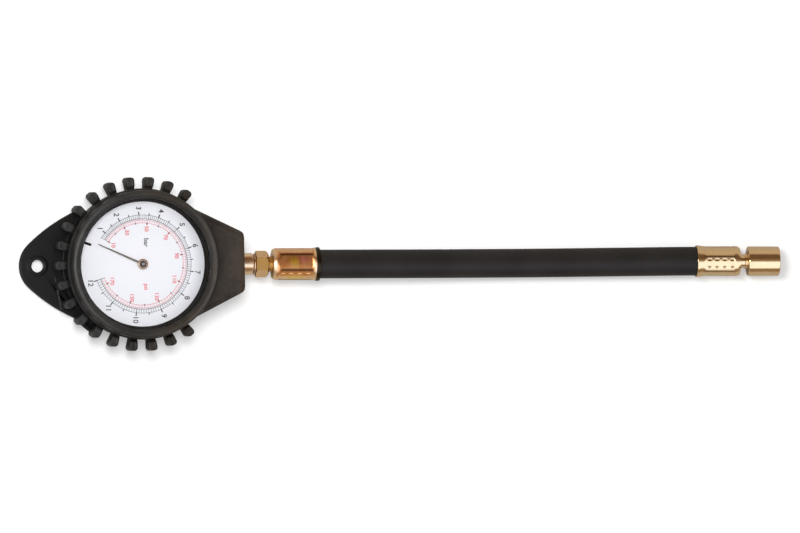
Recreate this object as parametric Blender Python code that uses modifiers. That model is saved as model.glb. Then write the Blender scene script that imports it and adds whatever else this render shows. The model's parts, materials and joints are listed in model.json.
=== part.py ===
"""Tire pressure gauge in a rubber boot, with a short hose and a push-on chuck.

The gauge lies on the back of its boot. The origin is on the dial's axis at the back of the boot,
+X runs along the hose, +Z looks out of the dial. All lengths are in metres.
"""
import math

import bmesh
import bpy
import numpy as np
from mathutils import Matrix, Vector

MM = 0.001

# Clearances
SEAT_GAP = 0.3 * MM
RUN_GAP = 0.07 * MM
LINK_PIN_SLACK = 0.4 * MM

# Fineness of the round shapes
STEPS_BOOT = 60
STEPS_LARGE = 48
STEPS_MEDIUM = 24
STEPS_SMALL = 14
STEPS_TINY = 10

# Rubber boot
BOOT_TURN = math.radians(1.2)
BOOT_FLOOR = 2.5 * MM
BOOT_WALL = 2.2 * MM
BOOT_LIP_RISE = 2.0 * MM
BOOT_LIP_OVERLAP = 2.0 * MM
BOOT_EDGE_ROUND = 1.6 * MM
RIB_COUNT = 19
RIB_PITCH = math.radians(13.8)
RIB_REACH = 7.4 * MM
RIB_BASE_WIDTH = 4.0 * MM
RIB_TIP_WIDTH = 5.0 * MM
RIB_TIP_ROUND = 1.9 * MM
RIB_BOTTOM = 6.3 * MM
RIB_TOP = 21.0 * MM
RIB_ROUND = 0.9 * MM
TAB_THICK = 4.0 * MM
TAB_NOSE_RADIUS = 16.5 * MM
TAB_NOSE_OFFSET = 8.9 * MM
TAB_FLANK_RADIUS = 95.0 * MM
TAB_FLANK_FIRST = math.radians(134.0)
TAB_FLANK_LAST = math.radians(116.0)
TAB_ROOT_FIRST = math.radians(141.0)
TAB_ROOT_LAST = math.radians(239.0)
TAB_SKIRT_WIDTH = 5.1 * MM
TAB_SKIRT_FIRST = math.radians(220.0)
TAB_ROUND = 1.0 * MM
HANG_HOLE_RADIUS = 3.5 * MM
HANG_HOLE_OFFSET = 15.3 * MM
EYELET_WIDTH = 2.3 * MM
EYELET_RISE = 1.0 * MM
NECK_REACH = 15.5 * MM
NECK_LENGTH = 27.0 * MM
NECK_ROOT_SINK = 0.33 * MM
NECK_END_HALF_WIDTH = 16.2 * MM
NECK_CORNER_RADIUS = 3.2 * MM
NECK_INNER_CORNER = 0.6 * MM
NECK_TOP = 26.0 * MM
NECK_WALL = 2.6 * MM
NECK_ROUND = 1.6 * MM

# Case, bezel, window and dial
CASE_OUTER_RADIUS = 39.0 * MM
CASE_WALL = 1.5 * MM
CASE_FLOOR = 1.5 * MM
CASE_CORNER = 0.6 * MM
LEDGE_WIDTH = 2.5 * MM
LEDGE_THICK = 2.0 * MM
LEDGE_HEADROOM = 1.1 * MM
DIAL_THICK = 0.8 * MM
DIAL_HOLE_RADIUS = 1.7 * MM
DIAL_KEY_ANGLE = math.radians(160.0)
DIAL_KEY_SLOT_WIDTH = 1.5 * MM
DIAL_KEY_SLOT_DEPTH = 6.3 * MM
DIAL_KEY_WIDTH = 0.9 * MM
DIAL_KEY_INSET = 0.5 * MM
SPACER_WALL = 2.3 * MM
SPACER_DRAFT = 0.4 * MM
SPACER_HEIGHT = 6.9 * MM
WINDOW_THICK = 1.5 * MM
BEZEL_LIP_WIDTH = 3.5 * MM
BEZEL_LIP_THICK = 1.2 * MM
BEZEL_LIP_DRAFT = 0.1 * MM
BEZEL_SKIRT_WALL = 1.6 * MM

# Pressure stem and socket
STEM_Z = 13.0 * MM
STEM_RADIUS = 6.0 * MM
STEM_REACH = 6.8 * MM
STEM_CHAMFER = 0.6 * MM
STEM_THREAD_RADIUS = 4.6 * MM
STEM_THREAD_DEPTH = 9.0 * MM
STEM_BORE_RADIUS = 1.5 * MM
BLOCK_INNER_DEPTH = 5.0 * MM
BLOCK_OUTER_DEPTH = 2.4 * MM
BLOCK_HALF_WIDTH = 7.0 * MM
BLOCK_RISE = 5.6 * MM
SHELF_LENGTH = 10.0 * MM
SHELF_HALF_WIDTH = 6.0 * MM
SHELF_THICK = 2.0 * MM
CASE_SCREW_OFFSET = 0.5 * MM
CASE_SCREW_INSET = 2.5 * MM
CASE_SCREW_SHANK_RADIUS = 1.0 * MM
CASE_SCREW_HEAD_RADIUS = 2.2 * MM
CASE_SCREW_HEAD_DEPTH = 1.05 * MM
CASE_SCREW_LENGTH = 4.4 * MM

# Bourdon tube
TUBE_RADIUS = 27.0 * MM
TUBE_HALF_THICK = 1.1 * MM
TUBE_HALF_HEIGHT = 4.5 * MM
TUBE_ROOT_ANGLE = math.radians(-8.0)
TUBE_TIP_ANGLE = math.radians(-229.0)
TUBE_STEPS = 44
TUBE_POCKET_FIRST = math.radians(-2.0)
TUBE_POCKET_LAST = math.radians(-32.0)
TUBE_POCKET_STEPS = 8
TIP_BLOCK_LENGTH = 1.2 * MM
TIP_BLOCK_HALF_THICK = 1.5 * MM
TIP_BLOCK_HALF_HEIGHT = 4.6 * MM
TIP_LUG_WIDTH = 2.6 * MM
TIP_PIN_LEAD = 3.1 * MM

# Movement
PLATE_THICK = 1.2 * MM
MOVEMENT_DROP = 4.0 * MM
PINION_RISE = 1.5 * MM
PINION_HEIGHT = 2.0 * MM
SECTOR_RISE = 0.5 * MM
SECTOR_THICK = 1.0 * MM
LINK_THICK = 0.7 * MM
COLLET_RISE = 0.2 * MM
COLLET_HEIGHT = 1.3 * MM
COLLET_ROOM = 1.3 * MM
PIVOT_PLATE_RADIUS = 4.5 * MM
SECTOR_PLATE_RADIUS = 3.6 * MM
FOOT_PLATE_RADIUS = 3.0 * MM
PILLAR_RADIUS = 1.7 * MM
PILLAR_SPIGOT_RADIUS = 0.9 * MM
PILLAR_THREAD_DEPTH = 4.0 * MM
PILLAR_SETBACK = 4.0 * MM
SCREW_SHANK_RADIUS = 0.8 * MM
SCREW_HEAD_RADIUS = 1.8 * MM
SCREW_HEAD_HEIGHT = 1.3 * MM
SCREW_SLOT_WIDTH = 0.5 * MM
SCREW_SLOT_DEPTH = 0.6 * MM
SCREW_REACH = 3.2 * MM
BLOCK_SCREW_SETBACK = 6.5 * MM
BLOCK_SCREW_Y = 3.2 * MM
BLOCK_SCREW_REACH = 1.6 * MM
GEAR_MODULE = 0.35 * MM
PRESSURE_ANGLE = math.radians(20.0)
TOOTH_THINNING = 0.05 * MM
TOOTH_ADDENDUM = 0.6
TOOTH_DEDENDUM = 0.9
PINION_TEETH = 10
SECTOR_FULL_TEETH = 100
SECTOR_ANGLE = math.radians(75.0)
SECTOR_TOOTH_FIRST = -11
SECTOR_TOOTH_LAST = 1
SECTOR_RIM_WIDTH = 2.2 * MM
SECTOR_WINDOW_INNER = 5.2 * MM
SECTOR_ARM_ANGLE = math.radians(6.0)
SECTOR_HUB_RADIUS = 2.4 * MM
SECTOR_TAIL_LENGTH = 6.0 * MM
SECTOR_TAIL_RADIUS = 1.2 * MM
ARBOR_RADIUS = 1.2 * MM
ARBOR_PIVOT_RADIUS = 0.8 * MM
PIN_RADIUS = 0.5 * MM
PIN_RISE = 1.4 * MM
LINK_END_RADIUS = 1.6 * MM
LINK_BAR_RADIUS = 0.9 * MM
LINK_END_STEPS = 12
STAFF_RADIUS = 0.9 * MM
STAFF_PIVOT_RADIUS = 0.6 * MM
STAFF_PROUD = 0.6 * MM
COLLET_RADIUS = 1.5 * MM
HAIRSPRING_TURNS = 3
HAIRSPRING_PITCH = 1.2 * MM
HAIRSPRING_HALF_HEIGHT = 0.5 * MM
HAIRSPRING_HALF_THICK = 0.12 * MM
HAIRSPRING_STEPS = 14
STUD_RADIUS = 0.6 * MM
STUD_ANGLE = math.radians(-90.0)

# Pointer
POINTER_ANGLE = math.radians(156.3)
POINTER_LENGTH = 27.8 * MM
POINTER_ROOT_WIDTH = 1.7 * MM
POINTER_TIP_WIDTH = 0.6 * MM
POINTER_THICK = 0.5 * MM
POINTER_LIFT = 1.1 * MM
POINTER_BOSS_RADIUS = 2.9 * MM
POINTER_BOSS_HEIGHT = 1.2 * MM
POINTER_BOSS_CHAMFER = 0.3 * MM
POINTER_FIT_GAP = 0.05 * MM

# Hose coupling
WASHER_THICK = 0.8 * MM
WASHER_OUTER_RADIUS = 5.8 * MM
HEX_ACROSS_FLATS = 13.0 * MM
HEX_LENGTH = 7.2 * MM
HEX_CHAMFER = 1.0 * MM
HEX_BACK_CHAMFER = 0.5 * MM
COUPLING_NECK_RADIUS = 4.2 * MM
COUPLING_NECK_LENGTH = 2.4 * MM
TAIL_FLANGE_RADIUS = 6.4 * MM
TAIL_FLANGE_LENGTH = 2.0 * MM
TAIL_RADIUS = 3.2 * MM
NEAR_TAIL_LENGTH = 3.0 * MM
FAR_TAIL_LENGTH = 2.0 * MM

# Ferrules: the fit is the room round the squeezed hose, and the walls stand on the bore or the mouth
FERRULE_FACETS = 6
FERRULE_END_WALL = 1.6 * MM
FERRULE_COLLAR = 4.2 * MM
FERRULE_COLLAR_ROUND = 1.2 * MM
FERRULE_RUN_OUT = 1.6 * MM
FERRULE_BELL_RUN_OUT = 2.6 * MM
FERRULE_BELL = 2.4 * MM
FERRULE_LIP = 1.2 * MM
FERRULE_LIP_STEP = 0.15 * MM
FERRULE_MOUTH_WALL = 0.3 * MM
RIDGE_HALF_ANGLE = math.radians(8.0)
NEAR_FERRULE_LENGTH = 26.5 * MM
NEAR_FERRULE_FIT = 0.45 * MM
NEAR_FERRULE_WALL = 1.05 * MM
NEAR_LAND_WALL = 0.55 * MM
NEAR_BELL_WALL = 1.1 * MM
NEAR_LAND_TURN = math.radians(22.0)
FAR_FERRULE_LENGTH = 24.5 * MM
FAR_FERRULE_FIT = 0.3 * MM
FAR_FERRULE_WALL = 0.7 * MM
FAR_LAND_WALL = 0.35 * MM
FAR_BELL_WALL = 0.55 * MM
FAR_LAND_TURN = math.radians(18.0)

# Hose
HOSE_RADIUS = 8.05 * MM
HOSE_SQUEEZE = 0.65 * MM
HOSE_CRIMP_RUN = 2.4 * MM
HOSE_POINT_SPACING = 30.0 * MM
HOSE_BEVEL_RESOLUTION = 4
# The hose leaves the near ferrule level, sinks to the table and rises to the far ferrule.
HOSE_ROUTE = (
    (82.0 * MM, 0.00 * MM, 13.00 * MM),
    (95.0 * MM, 0.00 * MM, 13.00 * MM),
    (108.0 * MM, 0.00 * MM, 13.00 * MM),
    (122.0 * MM, 0.05 * MM, 12.85 * MM),
    (138.0 * MM, 0.10 * MM, 12.30 * MM),
    (154.0 * MM, 0.15 * MM, 11.40 * MM),
    (170.0 * MM, 0.20 * MM, 10.35 * MM),
    (186.0 * MM, 0.30 * MM, 9.40 * MM),
    (202.0 * MM, 0.40 * MM, 8.70 * MM),
    (218.0 * MM, 0.50 * MM, 8.30 * MM),
    (234.0 * MM, 0.65 * MM, 8.15 * MM),
    (250.0 * MM, 0.85 * MM, 8.12 * MM),
    (266.0 * MM, 1.05 * MM, 8.20 * MM),
    (282.0 * MM, 1.25 * MM, 8.45 * MM),
    (298.0 * MM, 1.45 * MM, 8.78 * MM),
    (311.0 * MM, 1.58 * MM, 8.94 * MM),
    (323.0 * MM, 1.60 * MM, 8.95 * MM),
    (334.0 * MM, 1.60 * MM, 8.95 * MM),
)

# Far fitting and chuck
FAR_Y = 1.6 * MM
FAR_Z = 8.95 * MM
FAR_FERRULE_X = 315.7 * MM
FAR_NECK_RADIUS = 3.8 * MM
FAR_NECK_LENGTH = 4.6 * MM
NECK_RING_RISE = 0.5 * MM
NECK_RING_LENGTH = 1.0 * MM
NECK_RING_CHAMFER = 0.1 * MM
SWIVEL_FLANGE_INSET = 0.6 * MM
SWIVEL_FLANGE_LENGTH = 1.6 * MM
CHUCK_MOUTH_RADIUS = 4.1 * MM
CHUCK_MOUTH_CHAMFER = 0.9 * MM
CHUCK_BUSH_WALL = 1.4 * MM
CHUCK_WALL = 2.45 * MM
CHUCK_LENGTH = 17.8 * MM
CHUCK_EDGE = 0.8 * MM
CHUCK_BACK_WALL = 1.8 * MM
CHUCK_PIN_BASE = 1.2 * MM
CHUCK_PIN_RADIUS = 0.9 * MM
CHUCK_PIN_REACH = 1.6 * MM
CHUCK_AIR_HOLES = 3
CHUCK_AIR_HOLE_RADIUS = 0.7 * MM
CHUCK_AIR_HOLE_DISTANCE = 3.2 * MM
CHUCK_SEAL_THICK = 2.8 * MM
CHUCK_SEAL_BORE = 2.1 * MM

# Radii of case, boot and dial
CASE_INNER_RADIUS = CASE_OUTER_RADIUS - CASE_WALL
POCKET_RADIUS = CASE_OUTER_RADIUS + SEAT_GAP
BOOT_RADIUS = POCKET_RADIUS + BOOT_WALL
BOOT_LIP_INNER_RADIUS = CASE_OUTER_RADIUS - BOOT_LIP_OVERLAP
BEZEL_OPENING_RADIUS = CASE_OUTER_RADIUS - BEZEL_LIP_WIDTH
WINDOW_RADIUS = CASE_OUTER_RADIUS - BEZEL_SKIRT_WALL - SEAT_GAP
DIAL_RADIUS = CASE_INNER_RADIUS - SEAT_GAP
SPACER_INNER_RADIUS = DIAL_RADIUS - SPACER_WALL
WALL_MIDDLE = POCKET_RADIUS + BOOT_WALL / 2
HANG_HOLE_DISTANCE = BOOT_RADIUS + HANG_HOLE_OFFSET
NECK_END_X = BOOT_RADIUS + NECK_REACH
NECK_ROOT_X = NECK_END_X - NECK_LENGTH
NECK_ROOT_HALF_WIDTH = math.sqrt((BOOT_RADIUS - NECK_ROOT_SINK) ** 2 - NECK_ROOT_X ** 2)

# Heights, from the back of the boot up
CASE_BOTTOM = BOOT_FLOOR + SEAT_GAP
CASE_INSIDE = CASE_BOTTOM + CASE_FLOOR
PLATE_LOW_BOTTOM = STEM_Z - MOVEMENT_DROP
PLATE_LOW_TOP = PLATE_LOW_BOTTOM + PLATE_THICK
PINION_BOTTOM = PLATE_LOW_TOP + PINION_RISE
SECTOR_BOTTOM = PINION_BOTTOM + SECTOR_RISE
SECTOR_TOP = SECTOR_BOTTOM + SECTOR_THICK
LINK_BOTTOM = SECTOR_TOP + SEAT_GAP
LINK_TOP = LINK_BOTTOM + LINK_THICK
COLLET_BOTTOM = LINK_TOP + COLLET_RISE
COLLET_TOP = COLLET_BOTTOM + COLLET_HEIGHT
PLATE_HIGH_BOTTOM = COLLET_TOP + COLLET_ROOM
PLATE_HIGH_TOP = PLATE_HIGH_BOTTOM + PLATE_THICK
LEDGE_TOP = PLATE_HIGH_TOP + SEAT_GAP + SCREW_HEAD_HEIGHT + LEDGE_HEADROOM
DIAL_BOTTOM = LEDGE_TOP + SEAT_GAP
DIAL_TOP = DIAL_BOTTOM + DIAL_THICK
POINTER_BOTTOM = DIAL_TOP + POINTER_LIFT
POINTER_BOSS_TOP = POINTER_BOTTOM - SEAT_GAP + POINTER_BOSS_HEIGHT
STAFF_TOP = POINTER_BOSS_TOP + STAFF_PROUD
SPACER_BOTTOM = DIAL_TOP + SEAT_GAP
SPACER_TOP = SPACER_BOTTOM + SPACER_HEIGHT
WINDOW_BOTTOM = SPACER_TOP + SEAT_GAP
CASE_TOP = WINDOW_BOTTOM
WINDOW_TOP = WINDOW_BOTTOM + WINDOW_THICK
BEZEL_LIP_BOTTOM = WINDOW_TOP + SEAT_GAP
BEZEL_TOP = BEZEL_LIP_BOTTOM + BEZEL_LIP_THICK
BEZEL_SHOULDER = BEZEL_TOP - BEZEL_LIP_THICK * 0.4
BOOT_TOP = BEZEL_TOP + BOOT_LIP_RISE

# Places of the works
BLOCK_NEAR_X = TUBE_RADIUS - BLOCK_INNER_DEPTH
BLOCK_FAR_X = TUBE_RADIUS + BLOCK_OUTER_DEPTH
SHELF_NEAR_X = BLOCK_NEAR_X - SHELF_LENGTH
BLOCK_SCREW_X = BLOCK_NEAR_X - BLOCK_SCREW_SETBACK
PILLAR_PLACES = ((-7.0 * MM, -4.5 * MM), (BLOCK_SCREW_X - PILLAR_SETBACK, -6.0 * MM), (13.0 * MM, 21.0 * MM))
CASE_SCREW_X = TUBE_RADIUS + CASE_SCREW_OFFSET
CASE_SCREW_Y = BLOCK_HALF_WIDTH - CASE_SCREW_INSET
PINION_RADIUS = PINION_TEETH * GEAR_MODULE / 2
SECTOR_RADIUS = SECTOR_FULL_TEETH * GEAR_MODULE / 2
SECTOR_PLACE = (PINION_RADIUS + SECTOR_RADIUS) * Vector((math.cos(SECTOR_ANGLE), math.sin(SECTOR_ANGLE)))
TAIL_PLACE = SECTOR_PLACE + Vector((0.0, SECTOR_TAIL_LENGTH))
TIP_BLOCK_ANGLE = TUBE_TIP_ANGLE - (SEAT_GAP + TIP_BLOCK_LENGTH / 2) / TUBE_RADIUS
TIP_HEADING = TIP_BLOCK_ANGLE - math.pi / 2
TIP_BLOCK_PLACE = TUBE_RADIUS * Vector((math.cos(TIP_BLOCK_ANGLE), math.sin(TIP_BLOCK_ANGLE)))
TIP_PIN_PLACE = TIP_BLOCK_PLACE + TIP_PIN_LEAD * Vector((math.cos(TIP_HEADING), math.sin(TIP_HEADING)))

# Places along the hose
STEM_END_X = NECK_END_X + STEM_REACH
WASHER_X = STEM_END_X + SEAT_GAP
HEX_X = WASHER_X + WASHER_THICK + SEAT_GAP
COUPLING_NECK_X = HEX_X + HEX_LENGTH
NEAR_FERRULE_X = COUPLING_NECK_X + COUPLING_NECK_LENGTH
NEAR_FERRULE_END = NEAR_FERRULE_X + NEAR_FERRULE_LENGTH
HOSE_CRIMPED_RADIUS = HOSE_RADIUS - HOSE_SQUEEZE
FAR_FERRULE_END = FAR_FERRULE_X + FAR_FERRULE_LENGTH
CHUCK_CHAMBER_RADIUS = CHUCK_MOUTH_RADIUS + CHUCK_BUSH_WALL + SEAT_GAP
CHUCK_RADIUS = CHUCK_CHAMBER_RADIUS + CHUCK_WALL
CHUCK_X = FAR_FERRULE_END + FAR_NECK_LENGTH
SWIVEL_FLANGE_X = CHUCK_X + CHUCK_BACK_WALL + SEAT_GAP
CHUCK_PIN_X = SWIVEL_FLANGE_X + SWIVEL_FLANGE_LENGTH + SEAT_GAP
CHUCK_SEAL_X = CHUCK_PIN_X + CHUCK_PIN_BASE + SEAT_GAP
CHUCK_RETAINER_X = CHUCK_SEAL_X + CHUCK_SEAL_THICK + SEAT_GAP
CHUCK_END = CHUCK_X + CHUCK_LENGTH

# Colours, roughness and metallic value of each finish
FINISHES = {
    "boot_rubber": ((0.035, 0.031, 0.028), 0.62, 0.0),
    "case_black": ((0.02, 0.02, 0.022), 0.45, 0.0),
    "bezel_black": ((0.018, 0.018, 0.02), 0.4, 0.0),
    "window_clear": ((0.9, 0.92, 0.93), 0.05, 0.0),
    "dial_white": ((0.86, 0.86, 0.9), 0.4, 0.0),
    "pointer_brown": ((0.25, 0.2, 0.17), 0.4, 0.6),
    "movement_brass": ((0.62, 0.47, 0.2), 0.35, 1.0),
    "tube_bronze": ((0.55, 0.33, 0.18), 0.3, 1.0),
    "steel": ((0.55, 0.55, 0.56), 0.3, 1.0),
    "brass": ((0.66, 0.46, 0.2), 0.25, 1.0),
    "passivated": ((0.6, 0.33, 0.16), 0.28, 1.0),
    "seal_rubber": ((0.03, 0.03, 0.03), 0.7, 0.0),
    "hose_rubber": ((0.035, 0.033, 0.031), 0.55, 0.0),
    "seal_copper": ((0.62, 0.34, 0.2), 0.35, 1.0),
}


def clear_scene():
    """Removes every object, so that the model starts in an empty scene."""
    for thing in list(bpy.data.objects):
        bpy.data.objects.remove(thing, do_unlink=True)


def new_collection(name):
    """A collection of its own in the scene."""
    collection = bpy.data.collections.new(name)
    bpy.context.scene.collection.children.link(collection)
    return collection


def new_finish(name):
    """A Principled material in a finish's colour."""
    colour, roughness, metallic = FINISHES[name]
    material = bpy.data.materials.new(name)
    material.use_nodes = True
    shader = material.node_tree.nodes["Principled BSDF"]
    shader.inputs["Base Color"].default_value = (*colour, 1.0)
    shader.inputs["Roughness"].default_value = roughness
    shader.inputs["Metallic"].default_value = metallic
    return material


clear_scene()
PARTS = new_collection("tire_pressure_gauge")
CUTTERS = new_collection("cutters")
MATERIALS = {name: new_finish(name) for name in FINISHES}


def place(thing, collection, finish=None):
    """Links an object to its collection, and marks cutters as guides."""
    collection.objects.link(thing)
    if collection is CUTTERS:
        thing.hide_render = True
        thing.display_type = "WIRE"
    if finish is not None:
        thing.data.materials.append(MATERIALS[finish])
    return thing


def from_bmesh(name, shape, collection, finish=None):
    """An object from a bmesh with its faces turned outwards."""
    bmesh.ops.recalc_face_normals(shape, faces=shape.faces)
    mesh = bpy.data.meshes.new(name)
    shape.to_mesh(mesh)
    shape.free()
    mesh.shade_smooth()
    mesh.set_sharp_from_angle(angle=math.radians(30.0))
    return place(bpy.data.objects.new(name, mesh), collection, finish)


def turned(name, profile, collection, finish=None, steps=STEPS_LARGE, closed=False):
    """A profile of (radius, height) points, top to bottom on its outer side, turned about Z."""
    shape = bmesh.new()
    points = [shape.verts.new((radius, 0.0, height)) for radius, height in profile]
    for first, second in zip(points, points[1:]):
        shape.edges.new((first, second))
    if closed:
        shape.edges.new((points[-1], points[0]))
    mesh = bpy.data.meshes.new(name)
    shape.to_mesh(mesh)
    shape.free()
    thing = place(bpy.data.objects.new(name, mesh), collection, finish)
    screw = thing.modifiers.new("turn", "SCREW")
    screw.axis = "Z"
    screw.steps = steps
    screw.render_steps = steps
    screw.use_merge_vertices = True
    screw.merge_threshold = 0.00001
    screw.use_smooth_shade = True
    return thing


def lay_along_x(thing, x, y=0.0, z=STEM_Z):
    """Lays a shape that was made about Z on its side, so that its height runs along +X from x."""
    thing.location = (x, y, z)
    thing.rotation_euler = (0.0, math.pi / 2, 0.0)
    return thing


def rod(name, radius, low, high, collection, finish=None, steps=STEPS_SMALL):
    """A plain round bar about Z."""
    return turned(name, ((0.0, high), (radius, high), (radius, low), (0.0, low)), collection, finish, steps)


def box(name, low, high, collection, finish=None):
    """A box between two corners."""
    shape = bmesh.new()
    bmesh.ops.create_cube(shape, size=1.0)
    low, high = Vector(low), Vector(high)
    bmesh.ops.scale(shape, vec=high - low, verts=shape.verts)
    bmesh.ops.translate(shape, vec=(low + high) / 2, verts=shape.verts)
    return from_bmesh(name, shape, collection, finish)


def to_mesh_object(curve_object, collection, finish=None):
    """Turns a curve object into a mesh object with welded caps."""
    bpy.context.view_layer.update()
    graph = bpy.context.evaluated_depsgraph_get()
    mesh = bpy.data.meshes.new_from_object(curve_object.evaluated_get(graph))
    matrix = curve_object.matrix_world.copy()
    name = curve_object.name
    bpy.data.objects.remove(curve_object, do_unlink=True)
    shape = bmesh.new()
    shape.from_mesh(mesh)
    bpy.data.meshes.remove(mesh)
    bmesh.ops.remove_doubles(shape, verts=shape.verts, dist=0.000001)
    thing = from_bmesh(name, shape, collection, finish)
    thing.matrix_world = matrix
    return thing


def plate(name, outline, low, high, collection, finish=None):
    """A flat plate between two heights, from an outline of (x, y) points."""
    curve = bpy.data.curves.new(name, "CURVE")
    curve.dimensions = "2D"
    curve.fill_mode = "BOTH"
    curve.extrude = (high - low) / 2
    spline = curve.splines.new("POLY")
    spline.points.add(len(outline) - 1)
    for point, (x, y) in zip(spline.points, outline):
        point.co = (x, y, 0.0, 1.0)
    spline.use_cyclic_u = True
    thing = bpy.data.objects.new(name, curve)
    CUTTERS.objects.link(thing)
    thing.location = (0.0, 0.0, (low + high) / 2)
    return to_mesh_object(thing, collection, finish)


def round_edges(thing, width, segments=2):
    """Rounds the sharp edges of an object."""
    bevel = thing.modifiers.new("round", "BEVEL")
    bevel.width = width
    bevel.segments = segments
    bevel.limit_method = "ANGLE"
    bevel.angle_limit = math.radians(50.0)
    return thing


def combine(thing, other, operation):
    """Adds a Boolean of another object to an object."""
    boolean = thing.modifiers.new(other.name, "BOOLEAN")
    boolean.operation = operation
    boolean.solver = "EXACT"
    boolean.object = other
    return thing


def weld(thing):
    """Merges the doubled points that Booleans leave where edges meet."""
    merge = thing.modifiers.new("weld", "WELD")
    merge.merge_threshold = 0.00001
    return thing


def cut(thing, *cutters):
    """Cuts each cutter out of an object."""
    for cutter in cutters:
        combine(thing, cutter, "DIFFERENCE")
    return thing


def join(thing, *others):
    """Joins each other solid to an object."""
    for other in others:
        combine(thing, other, "UNION")
    return thing


def polar(radius, angle):
    """The (x, y) of a point at a radius and an angle."""
    return radius * math.cos(angle), radius * math.sin(angle)


def arc_points(centre, radius, first, last, count):
    """Points along an arc, both ends included."""
    angles = [first + (last - first) * index / (count - 1) for index in range(count)]
    return [(centre[0] + radius * math.cos(a), centre[1] + radius * math.sin(a)) for a in angles]


def round_hull(circles, count=12):
    """The outline of a band stretched around circles of (x, y, radius)."""
    points = []
    for x, y, radius in circles:
        points += arc_points((x, y), radius, 0.0, math.tau * (count - 1) / count, count)
    points = sorted(set(points))

    def half(ordered):
        chain = []
        for point in ordered:
            while len(chain) > 1:
                (ax, ay), (bx, by) = chain[-2], chain[-1]
                if (bx - ax) * (point[1] - ay) - (by - ay) * (point[0] - ax) > 1e-12:
                    break
                chain.pop()
            chain.append(point)
        return chain[:-1]

    return half(points) + half(points[::-1])


def strip_along(name, points, half_height, half_thick, collection, finish=None, resolution=1):
    """A flat strip with rounded edges that stands on a flat path of (x, y) points."""
    curve = bpy.data.curves.new(name, "CURVE")
    curve.dimensions = "2D"
    curve.fill_mode = "NONE"
    curve.extrude = half_height - half_thick
    curve.bevel_depth = half_thick
    curve.bevel_resolution = resolution
    curve.use_fill_caps = True
    spline = curve.splines.new("POLY")
    spline.points.add(len(points) - 1)
    for point, (x, y) in zip(spline.points, points):
        point.co = (x, y, 0.0, 1.0)
    thing = bpy.data.objects.new(name, curve)
    CUTTERS.objects.link(thing)
    return to_mesh_object(thing, collection, finish)


# Rubber boot


def boot_shell():
    """The outside of the boot's cup, solid as yet, with its rolled lip."""
    lip_inner = BOOT_LIP_INNER_RADIUS - SEAT_GAP
    lip_mid = (lip_inner + BOOT_RADIUS) / 2
    lip_half = (BOOT_RADIUS - lip_inner) / 2
    lip_base = BOOT_TOP - BOOT_LIP_RISE * 0.75
    crest = [
        (lip_mid - lip_half * math.cos(angle), lip_base + (BOOT_TOP - lip_base) * math.sin(angle))
        for angle in np.linspace(0.0, math.pi, 9)
    ]
    edge = [
        (BOOT_RADIUS - BOOT_EDGE_ROUND * (1 - math.cos(a)), BOOT_EDGE_ROUND * (1 - math.sin(a)))
        for a in np.linspace(0.0, math.pi / 2, 4)
    ]
    return turned(
        "rubber_boot", [(0.0, lip_base), *crest, *edge, (0.0, 0.0)], PARTS, "boot_rubber", STEPS_BOOT
    )


def case_pocket():
    """The space for the case and the opening inside the lip."""
    above = BOOT_TOP + BOOT_LIP_RISE
    profile = (
        (0.0, above),
        (BOOT_LIP_INNER_RADIUS, above),
        (BOOT_LIP_INNER_RADIUS, BEZEL_TOP + SEAT_GAP),
        (POCKET_RADIUS, BEZEL_SHOULDER),
        (POCKET_RADIUS, BOOT_FLOOR),
        (0.0, BOOT_FLOOR),
    )
    return turned("case_pocket", profile, CUTTERS, steps=STEPS_BOOT)


def rib_outline():
    """A rib seen from above: it widens from the wall to a blunt, rounded tip."""
    half = RIB_TIP_WIDTH / 2
    corner_x = BOOT_RADIUS + RIB_REACH - RIB_TIP_ROUND
    corner_y = half - RIB_TIP_ROUND
    tip = arc_points((corner_x, -corner_y), RIB_TIP_ROUND, -math.pi / 2, 0.0, 3)
    tip += arc_points((corner_x, corner_y), RIB_TIP_ROUND, 0.0, math.pi / 2, 3)
    return [(WALL_MIDDLE, -RIB_BASE_WIDTH / 2), *tip, (WALL_MIDDLE, RIB_BASE_WIDTH / 2)]


def boot_ribs():
    """The bumper ribs round the left side, as one set of solids."""
    rib = round_edges(plate("rib", rib_outline(), RIB_BOTTOM, RIB_TOP, CUTTERS), RIB_ROUND, 1)
    bpy.context.view_layer.update()
    graph = bpy.context.evaluated_depsgraph_get()
    one = bpy.data.meshes.new_from_object(rib.evaluated_get(graph))
    one.transform(rib.matrix_world)
    bpy.data.objects.remove(rib, do_unlink=True)
    ribs = bmesh.new()
    for index in range(RIB_COUNT):
        angle = math.pi + BOOT_TURN + (index - (RIB_COUNT - 1) / 2) * RIB_PITCH
        first = len(ribs.verts)
        ribs.from_mesh(one)
        ribs.verts.ensure_lookup_table()
        bmesh.ops.rotate(ribs, matrix=Matrix.Rotation(angle, 3, "Z"), verts=ribs.verts[first:])
    bpy.data.meshes.remove(one)
    return from_bmesh("boot_ribs", ribs, CUTTERS)


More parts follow.
